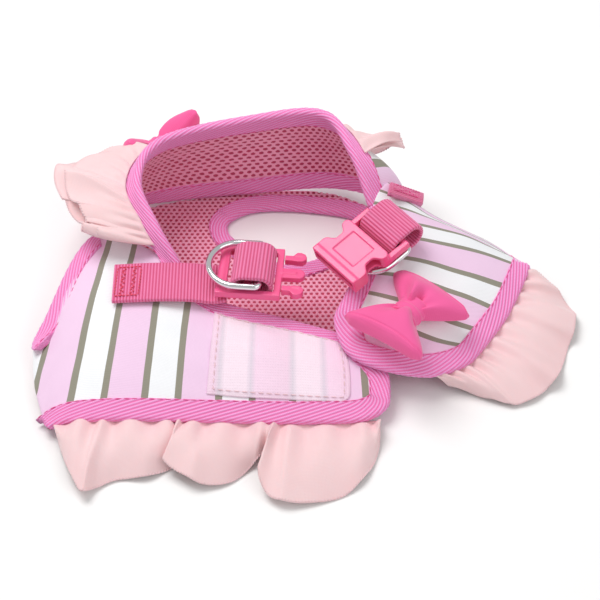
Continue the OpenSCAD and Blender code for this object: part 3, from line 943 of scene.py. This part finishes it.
left_cloth, left_mesh = panel(
    ("left_wing_cloth", "left_wing_mesh"), LEFT, ((0.012, 0.99), (0.02, 0.98)), LEFT_CORNERS, (190, 96),
    lambda p, u, v: left_stripe(p), 3, 0.75,
    lambda obj, slot, k: finish_piece(obj, "vest", slot, [("left_wing_shell", "left_wing_lining")[k]]))
chest_cloth, chest_mesh = panel(
    ("chest_cloth", "chest_mesh"), CHEST, ((0.0, 1.0), (0.02, 0.98)), [], (190, 70),
    lambda p, u, v: 96 * u + 6 * v, 5, 0.62,
    lambda obj, slot, k: finish_piece(obj, "vest", slot, [("chest_shell", "chest_lining")[k]]))


def bend_piece(obj, slot, nodes):
    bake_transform(obj)
    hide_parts(*nodes)
    return obj


RIGHT_NODES = (["side_shell", "flap_shell"], ["side_lining", "flap_lining"])
right_cloth, right_mesh = panel(
    ("right_side_cloth", "right_side_mesh"), RIGHT, ((0.015, 0.985), (0.0, 0.985)), FLAP_CORNERS, (110, 190),
    lambda p, u, v: right_stripe(u, v), 8, 0.62,
    lambda obj, slot, k: bend_piece(obj, slot, RIGHT_NODES[k]), wrinkle=0.3)


# Binding tape round every cut edge.
def edge_path(stops, u_range=UNIT, v_range=UNIT, corners=(), count=40):
    """u, v pairs along the unit square's boundary from stop to stop, with its corners rounded."""
    run = [np.linspace(p, q, count, endpoint=False) for p, q in zip(stops, stops[1:])]
    a, b = np.concatenate(run + [[stops[-1]]]).T
    return np.stack(rounded(a, b, u_range, v_range, corners), -1)


def bind(name, surface, path):
    return tape_from_rings(name, tape_rings(surface, path))


finish_piece(bind("left_binding", LEFT, edge_path([(0.9, 1), (0, 1), (0, 0), (0.505, 0)], corners=LEFT_CORNERS)),
             "vest", "binding_tape", ["left_neck_binding", "left_end_binding", "left_rear_binding"])
finish_piece(tape_from_rings("left_leg_tape", leg_rings(LEFT, edge_path([(0.66, 0), (0.95, 0)]))),
             "vest", "binding_tape", ["left_leg_binding"])
finish_piece(bind("chest_neck_tape", CHEST, edge_path([(-0.005, 0), (1.0, 0)])),
             "vest", "binding_tape", ["chest_neck_binding"])
finish_piece(bind("chest_leg_tape", CHEST, edge_path([(0.88, 1), (0, 1)])),
             "vest", "binding_tape", ["chest_leg_binding"])
bend_piece(bind("right_binding", RIGHT, edge_path([(0, 0.5), (0, 1), (1, 1), (1, 0.1)], corners=FLAP_CORNERS)),
           "binding_tape", ["flap_neck_binding", "flap_end_binding", "flap_rear_binding", "side_rear_binding"])

# Belly panel, flat on the floor, with the right leg hole through it.
BELLY_TOP = 2.8
HOLE_MIDDLE = np.array([1.0, 40.0])


def closed_curve(points, count):
    points = np.array(points, float)
    wrapped = np.concatenate([points[-1:], points, points[:2]])
    return catmull(wrapped, 1 + np.linspace(0, len(points), count, endpoint=False))


def belly_grid(rings, spokes):
    """Rings of points from the leg hole out to the belly's outline, one spoke per angle round the hole."""
    hole, rim = (closed_curve(c, 2000) - HOLE_MIDDLE for c in (LEG_HOLE, BELLY_OUTLINE))
    angle = np.linspace(-math.pi, math.pi, spokes, endpoint=False)

    def reach(outline):
        bearing = np.arctan2(outline[:, 1], outline[:, 0])
        order = np.argsort(bearing)
        return np.interp(angle, bearing[order], np.linalg.norm(outline, axis=1)[order], period=2 * math.pi)

    near, far = reach(hole) + 2.0, reach(rim)
    far = np.maximum(far, near + 1.5)
    r = near[None] + (far - near)[None] * np.linspace(0, 1, rings)[:, None]
    xy = HOLE_MIDDLE + r[..., None] * np.stack([np.cos(angle), np.sin(angle)], -1)[None]
    return xy


def belly_layer(name, rings, spokes, low, top_of, material):
    xy = belly_grid(rings, spokes)
    z = top_of(xy[..., 0], xy[..., 1])
    top = np.concatenate([xy, z[..., None]], -1)
    bottom = np.concatenate([xy, np.full(z.shape + (1,), low)], -1)
    count = rings * spokes
    up = grid_faces(rings, spokes, close_m=True)
    walls = []
    for i in (0, rings - 1):
        ids = [i * spokes + j for j in range(spokes)]
        walls += [(a, b, b + count, a + count) for a, b in zip(ids, ids[1:] + ids[:1])]
    obj = add_mesh(name, np.concatenate([top.reshape(-1, 3), bottom.reshape(-1, 3)]),
                   np.concatenate([up, up[:, ::-1] + count, np.array(walls)]),
                   np.concatenate([xy.reshape(-1, 2)] * 2), material)
    fix_normals(obj)
    return obj


def belly_ripple(x, y):
    return 0.35 * np.sin(x / 11 + 0.5 * np.sin(y / 9)) * np.sin(y / 13 + 1)


finish_piece(belly_layer("belly_mesh", 170, 560, 1.3,
                         lambda x, y: BELLY_TOP + belly_ripple(x, y) - 0.6 * hole_depth(x, y), AIR_MESH),
             "vest", "air_mesh", ["belly_lining"])
finish_piece(belly_layer("belly_cloth", 8, 240, 0.1, lambda x, y: np.full(x.shape, 1.2), STRIPED),
             "vest", "striped_cloth", ["belly_shell"])


def flat_tape(name, outline, z):
    """Tape folded round a flat closed edge, with the panel outside it."""
    edge, _ = resample(np.concatenate([outline, outline[:1]]), 0.5)
    tangent = np.roll(edge[:-1], -1, 0) - np.roll(edge[:-1], 1, 0)
    tangent = unit(np.concatenate([tangent, tangent[:1]]))
    away = np.stack([tangent[:, 1], -tangent[:, 0]], -1)
    away *= np.sign(np.sum(away * (edge - HOLE_MIDDLE), 1).mean())
    xy = edge[:, None] + away[:, None] * PROFILE[None, :, :1] * 0.9
    height = z + np.broadcast_to(PROFILE[:, 1], xy.shape[:2])
    return tape_from_rings(name, np.concatenate([xy, height[..., None]], -1))


finish_piece(flat_tape("leg_hole_tape", closed_curve(LEG_HOLE, 400), 1.85), "vest", "binding_tape",
             ["leg_hole_binding"])


# Touch-fastener patches: loop on the left wing, hooks under the flap.
def patch(name, surface, u_range, v_range, corners, offset, thick, uv_of, material, n=70, m=70, seed=1):
    a, b, u, v, p, normal = panel_grid(surface, u_range, v_range, corners, n, m)
    rim = np.minimum(np.minimum(a, 1 - a), np.minimum(b, 1 - b))
    pillow = smooth_step(rim * 14)[..., None]
    lift = offset + np.sign(offset) * thick * (0.45 + 0.55 * pillow) + wrinkles(a, b, 0.12, seed)[..., None]
    obj = slab(name, p + normal * lift, p + normal * offset, uv_of(p, u, v), material)
    inset = [(0.045, 0.05), (0.955, 0.05), (0.955, 0.95), (0.045, 0.95), (0.045, 0.05)]
    line = np.concatenate([np.linspace(s, e, 60, endpoint=False) for s, e in zip(inset, inset[1:])] + [inset[-1:]])
    lu, lv = rounded(line[:, 0], line[:, 1], u_range, v_range, corners)
    sewn = surface.at(lu, lv) + surface.normal(lu, lv) * (offset + np.sign(offset) * (thick + 0.05))
    return join(name, [obj, dashes(name + "_stitch", [sewn], 2.2, 0.9, 0.2, THREAD_PALE)])


loop_patch = patch("loop_patch_pile", LEFT, (0.075, 0.335), (0.165, 0.83), [(0, 0, 0.02, 0.08), (0, 1, 0.02, 0.08)],
                   1.25, 1.1, lambda p, u, v: np.stack([left_stripe(p), p[..., 1]], -1), LOOP_TAPE)
finish_piece(loop_patch, "vest", "loop_tape", ["loop_patch"])
hook_patch = patch("hook_patch_pile", RIGHT, (0.2, 0.8), (0.76, 0.9), [], -1.35, 1.0,
                   lambda p, u, v: p[..., :2], HOOK_TAPE)
finish_piece(hook_patch, "right_flap", "hook_tape", ["hook_patch"])


# ---------------------------------------------------------------- the ruffles

# Each row: where the fold leaves the seam, and the place of the hem there. Folds double back where x turns.
LEFT_FOLDS = [
    (31, (30.2, -61.5, 3.2)), (28, (29.5, -71, 2.0)), (22, (26, -80.5, 1.4)), (13, (16.8, -91.5, 1.2)),
    (5, (4, -95.5, 2.0)), (-2, (-6, -96, 3.4)), (-6, (-12.5, -93, 5.2)), (-8.5, (-15.6, -84.5, 7.6)),
    (-10.5, (-12, -75, 8.6)), (-13, (-12.6, -71.5, 5.0)), (-17, (-17.5, -77.5, 1.8)), (-24, (-26, -85.5, 1.4)),
    (-32, (-36.5, -87.8, 3.0)), (-38, (-45, -84.5, 6.2)), (-43, (-51, -79.5, 6.8)), (-46, (-49.5, -75.5, 3.8)),
    (-49, (-46.5, -77.5, 1.2)), (-56, (-57, -83, 1.2)), (-66, (-69, -84.6, 1.4)), (-73, (-76, -88.5, 1.8)),
    (-77, (-81, -92.5, 5.0)), (-82, (-85, -86.5, 7.2)), (-88, (-88.5, -77, 3.8)), (-94, (-91.5, -67.5, 3.0)),
]


def left_seam(s):
    """Points under the left wing's rear binding, each below where a fold of the skirt leaves it."""
    x = catmull(np.array([[row[0]] for row in LEFT_FOLDS], float), s * (len(LEFT_FOLDS) - 1))[:, 0]
    u = np.linspace(0, 1, 400)
    edge = LEFT.at(u, np.full_like(u, 0.965))
    return np.stack([np.interp(-x, -edge[:, 0], edge[:, k]) for k in range(3)], -1) - np.array([0, 0, 1.9])


left_skirt, left_overlock = ruffle(
    "left_skirt", left_seam, curve_of([row[1] for row in LEFT_FOLDS]), fixed((0, -0.3, 1)),
    waves=[(0.9, 9.3, 2.0), (0.4, 15.7, 4.1)], sideways=0.8, gathers=(1.7, 13), reach=4.2, columns=760, rows=40)
finish_piece(left_skirt, "vest", "ruffle_cloth", ["left_skirt_ruffle"])
finish_piece(left_overlock, "vest", "ruffle_cloth")


def right_seam(s):
    """Points under the flap's binding, from the hinge round the rounded corner to the closure end."""
    path = edge_path([(1, 0.5), (1, 1), (0.72, 1)], u_range=(0, 0.965), v_range=(0, 0.975), corners=FLAP_CORNERS)
    p = RIGHT.at(path[:, 0], path[:, 1]) - RIGHT.normal(path[:, 0], path[:, 1]) * 2.1
    at = arc_length(p)
    return np.stack([np.interp(s * at[-1], at, p[:, k]) for k in range(3)], -1)


RIGHT_HEM = [(96, 16, 7), (104, 9, 3), (110, 0, 2), (110, -7, 4.5), (107, -17, 1.5), (104, -27, 2.0), (101, -35, 4.4),
             (95, -42, 1.8), (88.5, -47.5, 3.6), (82, -48.5, 1.4), (74, -46, 1.8), (66, -43, 3.4), (58, -41, 3.6)]
right_skirt, right_overlock = ruffle(
    "right_skirt", right_seam, curve_of(RIGHT_HEM), fixed((0.3, -0.3, 1)),
    waves=[(1.3, 4.1, 0.2), (0.5, 9.3, 2.5)], sideways=0.9, gathers=(1.2, 11), reach=3.0, columns=560, rows=40)
finish_piece(right_skirt, "right_flap", "ruffle_cloth", ["right_skirt_ruffle"])
finish_piece(right_overlock, "right_flap", "ruffle_cloth")

COLLAR_FLARE = [0.3, 1, 1.1, 0.5, 0.3, 0.35, 0.6, 0.5]


def collar(name, node, reach, drop, waves, start=0.05, end=0.86):
    """A ruffle that hangs off the outside of the chest panel and flares away from it."""
    def u_of(s):
        return start + (end - start) * s

    def base(s):
        u = u_of(s)
        return CHEST.at(u, np.full_like(u, 0.16)) + CHEST.normal(u, np.full_like(u, 0.16)) * 2.2

    def hem(s):
        u = u_of(s)
        v = np.full_like(u, 0.16 + drop)
        flare = catmull(np.array(COLLAR_FLARE)[:, None], u * 7)
        return CHEST.at(u, v) + CHEST.normal(u, v) * (2.4 + reach * flare)

    def up(s):
        n = np.cross(np.gradient(hem(s), axis=0), hem(s) - base(s))
        return unit(n * np.sign(n[:, 2:]))

    cloth, overlock = ruffle(name, base, hem, up, waves, sideways=0.8, gathers=(0.7, 24), reach=1.6, columns=520)
    finish_piece(cloth, "vest", "ruffle_cloth", [node])
    finish_piece(overlock, "vest", "ruffle_cloth")
    return cloth, overlock


collar_upper, collar_upper_hem = collar("collar_upper", "collar_ruffle_upper", 16.5, 0.37,
                                        [(2.6, 5.3, 0.7), (1.2, 9.4, 1.3)])
collar_lower, collar_lower_hem = collar("collar_lower", "collar_ruffle_lower", 19, 0.47,
                                        [(2.9, 5.3, 0.9), (1.2, 8.7, 0.4)])


# ---------------------------------------------------------------- the bows

def bow(name, place, body, loop_node, knot_node, seed):
    lobes = [place.put(bow_lobe(f"{name}_{word}_lobe", side, 36.5, 38.5, 9.5, seed=seed + side))
             for word, side in (("left", -1), ("right", 1))]
    finish_piece(lobes[0], body, "bow_cloth", [loop_node])
    finish_piece(lobes[1], body, "bow_cloth")
    knot = place.put(bow_band(name + "_knot_band", 10.5, 6.6, 5.4))
    finish_piece(knot, body, "bow_cloth", [knot_node])


BACK_BOW_AT = Place((41.5, -24.6, 27.6), (0, 8, 52))
CHEST_BOW_AT = Place((-59.5, 76.0, 18.8), (-75, 0, 38))

bow("back_bow", BACK_BOW_AT, "right_flap", "back_bow_loops", "back_bow_knot", seed=4)
bow("chest_bow", CHEST_BOW_AT, "vest", "chest_bow_loops", "chest_bow_knot", seed=11)


# ---------------------------------------------------------------- straps, loops and rings

def sewn_box(origin, along, across, normal, length, width, crossed, name, material):
    """A sewn box, with a cross or a zigzag inside it."""
    origin, along, across, normal = (np.array(x, float) for x in (origin, along, across, normal))

    def at(x, y):
        return origin + along * x + across * y + normal * 0.12
    a, b = length / 2, width / 2
    corners = [at(-a, -b), at(a, -b), at(a, b), at(-a, b), at(-a, -b)]
    lines = [np.linspace(p, q, 12) for p, q in zip(corners, corners[1:])]
    if crossed:
        lines += [np.linspace(at(-a, -b), at(a, b), 20), np.linspace(at(-a, b), at(a, -b), 20)]
    else:
        lines += [np.array(zigzag(at(x, -b), at(x, b), 0.8, 1.1, normal)) for x in (-a * 0.45, a * 0.45)]
    return dashes(name, lines, 1.25, 0.3, 0.3, material)


def strap_piece(name, points, across, body, node, box_at, box_length, crossed, material):
    band, centre = strap(name, points, across)
    k = int(box_at * (len(centre) - 1))
    along = unit(centre[min(k + 3, len(centre) - 1)] - centre[max(k - 3, 0)])
    across = unit(np.array(across, float))
    normal = np.cross(along, across)
    normal *= np.sign(normal[2])
    sewing = sewn_box(centre[k] + normal * (WEBBING_T / 2 + 0.15), along, across, normal, box_length,
                      WEBBING_W - 4.5, crossed, name + "_sewing", material)
    return finish_piece(join(name, [band, sewing]), body, "webbing", [node])


left_band, _ = strap("left_strap_webbing",
                               [(-73, -7, 25.2), (-60, -7.8, 27), (-49, -8.5, 28), (-41, -8.3, 27.3),
                                (-34, -7.8, 25.6), (-28.5, -7, 26)], (0, 1, 0))
left_sewing = sewn_box((-67.2, -7.3, 27.1), (0.99, -0.05, 0.14), (0.05, 1, 0), (-0.14, 0, 0.99), 9.5, WEBBING_W - 4.0,
                       False, "left_strap_sewing", THREAD_RED)
left_strap = join("left_strap_webbing", [left_band, left_sewing])
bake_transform(left_strap)
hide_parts("left_strap", "left_strap_end")
strap_piece("right_strap_webbing", [(43.5, 43.5, 27), (43, 38, 30), (42.3, 33, 31.6)], (0.72, 0.29, -0.62),
            "vest", "right_strap", 0.45, 7.5, True, THREAD_PINK)
finish_piece(webbing_loop("left_webbing_loop", LEFT_AT), "left_tab", "webbing", ["left_loop"])
finish_piece(webbing_loop("right_webbing_loop", RIGHT_AT), "right_flap", "webbing", ["right_loop"])


def d_ring(name, place, bar, direction):
    """A wire ring with its straight bar along Y at the bar's place, and its bow along X in the direction given."""
    r, soft = RING_INNER / 2 + RING_WIRE / 2, 2.0
    path = [(0, y) for y in np.linspace(-r + soft, r - soft, 24, endpoint=False)]
    path += [(soft - soft * math.cos(t), r - soft + soft * math.sin(t)) for t in np.linspace(0, math.pi / 2, 12)]
    path += [(x, r) for x in np.linspace(soft, RING_LEG, 8)[1:]]
    path += [(RING_LEG + r * math.sin(t), r * math.cos(t)) for t in np.linspace(0, math.pi, 60)[1:]]
    path += [(x, -r) for x in np.linspace(RING_LEG, soft, 8)[1:]]
    path += [(soft - soft * math.cos(t), -r + soft - soft * math.sin(t)) for t in np.linspace(math.pi / 2, 0, 12)[1:-1]]
    path = np.array([(bar[0] + direction * x, bar[1] + y, bar[2]) for x, y in path])
    return place.put(tube(name, path, RING_WIRE / 2, CHROME, sides=22, closed=True))


finish_piece(d_ring("left_d_ring", LEFT_AT, (3, 0, 2.3), -1), "left_ring", "ring_steel", ["left_ring"])
finish_piece(d_ring("right_d_ring", RIGHT_AT, (1, 0, -2.2), 1), "right_ring", "ring_steel", ["right_ring"])


# ---------------------------------------------------------------- buckle

def box_part(centre, size):
    bpy.ops.mesh.primitive_cube_add(size=1)
    obj = bpy.context.object
    obj.data.transform(Matrix.Diagonal((*[x * MM for x in size], 1)))
    obj.data.transform(Matrix.Translation(Vector(centre) * MM))
    return obj


def rod_part(centre, radius, length, axis="Y", squashed=1.0):
    bpy.ops.mesh.primitive_cylinder_add(vertices=48, radius=radius * MM, depth=length * MM)
    obj = bpy.context.object
    turn = {"Y": Matrix.Rotation(math.pi / 2, 4, "X"), "Z": Matrix.Identity(4)}[axis]
    obj.data.transform(Matrix.Translation(Vector(centre) * MM) @ Matrix.Diagonal((1, 1, squashed, 1)) @ turn)
    return obj


def prism_part(outline, z0, z1):
    n = len(outline)
    verts = [(x, y, z0) for x, y in outline] + [(x, y, z1) for x, y in outline]
    faces = [tuple(range(n))[::-1], tuple(range(n, 2 * n))]
    faces += [(i, (i + 1) % n, (i + 1) % n + n, i + n) for i in range(n)]
    obj = add_mesh("part", verts, faces)
    fix_normals(obj)
    return obj


def moulded(name, parts, cuts=(), voxel=0.24, soften=5):
    """One moulded piece from overlapping parts less the cuts, with every edge softened."""
    obj = join(name, parts)
    remesh = obj.modifiers.new("join", "REMESH")
    remesh.mode, remesh.voxel_size = "VOXEL", voxel * MM
    apply_modifiers(obj)
    if cuts:
        cutter = join(name + "_cuts", list(cuts))
        cut = obj.modifiers.new("cut", "BOOLEAN")
        cut.operation, cut.solver, cut.object = "DIFFERENCE", "EXACT", cutter
        cut.use_self = True
        apply_modifiers(obj)
        bpy.data.objects.remove(cutter)
        remesh = obj.modifiers.new("even", "REMESH")
        remesh.mode, remesh.voxel_size = "VOXEL", voxel * MM
    smooth = obj.modifiers.new("soften", "SMOOTH")
    smooth.factor, smooth.iterations = 0.5, soften
    apply_modifiers(obj)
    obj.data.materials.clear()
    obj.data.materials.append(PLASTIC)
    obj.data.polygons.foreach_set("use_smooth", [True] * len(obj.data.polygons))
    return obj


BUCKLE_W = 25.0
BUCKLE_T = 6.4
RAIL_W = 2.2
RAIL_Y = (BUCKLE_W - RAIL_W) / 2
MALE_Z = -2.2
FRAME_BACK, FRAME_FRONT = -14.0, 11.2

male = moulded("male_half", [
    rod_part((-2, 0, 0), 1.5, BUCKLE_W - 1),
    rod_part((FRAME_BACK + 2, 0, 0), 2.0, BUCKLE_W, squashed=0.8),
    box_part((FRAME_BACK + 3.2, 0, 0), (1.8, BUCKLE_W - 1, 2.6)),
    box_part((-1.4, RAIL_Y, 0), (25.2, RAIL_W, 3.0)),
    box_part((-1.4, -RAIL_Y, 0), (25.2, RAIL_W, 3.0)),
    box_part((FRAME_FRONT - 1.3, 0, 0), (2.6, BUCKLE_W, 3.2)),
    box_part((FRAME_FRONT + 3.0, 0, 0), (8.0, 5.0, 2.6)),
    rod_part((FRAME_FRONT + 7.0 - 0.6, 0, 0), 2.4, 2.6, axis="Z"),
    box_part((FRAME_FRONT + 2.5, 0, 0), (6.0, 1.2, 3.4)),
])
male.data.transform(Matrix.Translation(Vector((0, 0, MALE_Z)) * MM))
finish_piece(LEFT_AT.put(male), "male_buckle", "buckle_plastic", ["male_base"])


def prong(name, s):
    """A sprung arm with a hooked head that points outwards."""
    outline = [(0.3, -1.2), (3.2, -1.3), (5.2, -1.6), (7.4, -1.4), (8.6, -0.4), (8.9, 0.8), (8.2, 2.3), (6.6, 3.2),
               (5.0, 3.1), (4.2, 2.2), (3.6, 1.3), (0.3, 1.2)]
    outline = [(FRAME_FRONT + x, s * (8.0 + y)) for x, y in outline]
    groove = box_part((FRAME_FRONT + 5.4, s * 8.4, 1.65), (3.2, 1.6, 0.7))
    obj = moulded(name, [prism_part(outline, -1.45, 1.45)], [groove], voxel=0.2, soften=4)
    obj.data.transform(Matrix.Translation(Vector((0, 0, MALE_Z)) * MM))
    return LEFT_AT.put(obj)


finish_piece(prong("rear_prong_arm", 1), "rear_prong", "buckle_plastic", ["rear_prong"])
finish_piece(prong("front_prong_arm", -1), "front_prong", "buckle_plastic", ["front_prong"])


def shell_outline(inset=0.0):
    """The female half from above: full width at both ends, drawn in at the waist where the prongs are pressed."""
    half = BUCKLE_W / 2
    side = []
    for x in np.linspace(8.5, 27.5, 60):
        pull = 3.6 * math.exp(-((x - 16.2) / 3.4) ** 4)
        corner = 1.4 * (max(0, 9.9 - x) / 1.4) ** 2 + 0.7 * (max(0, x - 26.7) / 0.8) ** 2
        side.append((x, half - pull - corner - inset))
    return side + [(x, -y) for x, y in reversed(side)]


SHELL_Z = 1.4
female = moulded("female_half", [
    prism_part(shell_outline(), SHELL_Z - BUCKLE_T / 2, SHELL_Z + BUCKLE_T / 2),
    box_part((26.1, 0, SHELL_Z), (2.6, BUCKLE_W - 0.4, BUCKLE_T + 0.7)),
    rod_part((0, 0, 0), 1.5, BUCKLE_W - 1),
    box_part((4.2, RAIL_Y, 0), (10.4, RAIL_W, 3.0)),
    box_part((4.2, -RAIL_Y, 0), (10.4, RAIL_W, 3.0)),
], [
    box_part((21.0, 0, SHELL_Z), (18.0, BUCKLE_W - 2.8, BUCKLE_T - 2.8)),
    box_part((16.2, 0, SHELL_Z), (6.4, BUCKLE_W + 4, BUCKLE_T - 2.8)),
    box_part((16.6, 0, SHELL_Z + BUCKLE_T / 2), (11.0, 12.5, 1.1)),
    box_part((16.6, 0, SHELL_Z - BUCKLE_T / 2), (11.0, 12.5, 0.8)),
])
female.data.transform(Matrix.Translation(Vector((2, 0, 2)) * MM))
finish_piece(RIGHT_AT.put(female), "female_buckle", "buckle_plastic", ["female_body"])


# ---------------------------------------------------------------- cloth pieces and their sizes, listed but not used

def cloth(obj, width, length, held, rests_on=(), with_pieces=(), area=None):
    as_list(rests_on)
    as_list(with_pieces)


for sheets, width, length, held in (((left_cloth, left_mesh), 58, 138, "laid"),
                                    ((chest_cloth, chest_mesh), 42, 175, "hung"),
                                    ((right_cloth, right_mesh), 56, 112, "laid")):
    for piece in sheets:
        cloth(piece, width, length, held, ["belly_mesh"])
for piece, under in (("belly_cloth", "floor"), ("belly_mesh", "belly_cloth")):
    cloth(bpy.data.objects[piece], 110, 185, "laid", [under], area=14000)
for piece, hem, width, length, under in ((left_skirt, left_overlock, 30, 165, "left_wing_cloth"),
                                         (right_skirt, right_overlock, 18, 140, "right_side_cloth"),
                                         (collar_upper, collar_upper_hem, 22, 230, "chest_cloth"),
                                         (collar_lower, collar_lower_hem, 24, 230, "chest_cloth")):
    cloth(piece, width, length, "gathered", [under], [hem])


# ---------------------------------------------------------------- stage, light and camera

FLOOR = 2500.0
floor_mesh = add_mesh("floor", [(x * FLOOR, y * FLOOR, -0.02) for x, y in ((-1, -1), (1, -1), (1, 1), (-1, 1))],
                      [(0, 1, 2, 3)], smooth=False)
paper = Nodes("floor_paper", 0.9)
paper.colour(paper.mix(paper.noise(8, 2), (0.93, 0.93, 0.92, 1), (0.96, 0.96, 0.955, 1)))
floor_mesh.data.materials.append(paper.material)


def aimed(name, data, place, target=(0, 0, 0)):
    """A light or camera in the scene, looking at a target in metres."""
    obj = bpy.data.objects.new(name, data)
    bpy.context.scene.collection.objects.link(obj)
    obj.location = place
    obj.rotation_euler = (Vector(target) - obj.location).to_track_quat("-Z", "Y").to_euler()
    return obj


for light_name, place, power, size in (("key", (-0.35, 0.25, 0.9), 6.1, 0.55), ("fill", (0.7, -0.6, 0.8), 2.6, 0.9)):
    light = bpy.data.lights.new(light_name, "AREA")
    light.energy, light.size = power, size
    aimed(light_name, light, place)
world = bpy.data.worlds.new("studio")
world.use_nodes = True
world.node_tree.nodes["Background"].inputs[0].default_value = (1, 1, 1, 1)
world.node_tree.nodes["Background"].inputs[1].default_value = 0.53
bpy.context.scene.world = world
bpy.context.scene.view_settings.view_transform = "Standard"

camera_data = bpy.data.cameras.new("camera")
camera_data.lens, camera_data.sensor_width = 120, 36
bpy.context.scene.camera = aimed("camera", camera_data, (0, -0.5353, 0.6025), (0, 0, 0.008))
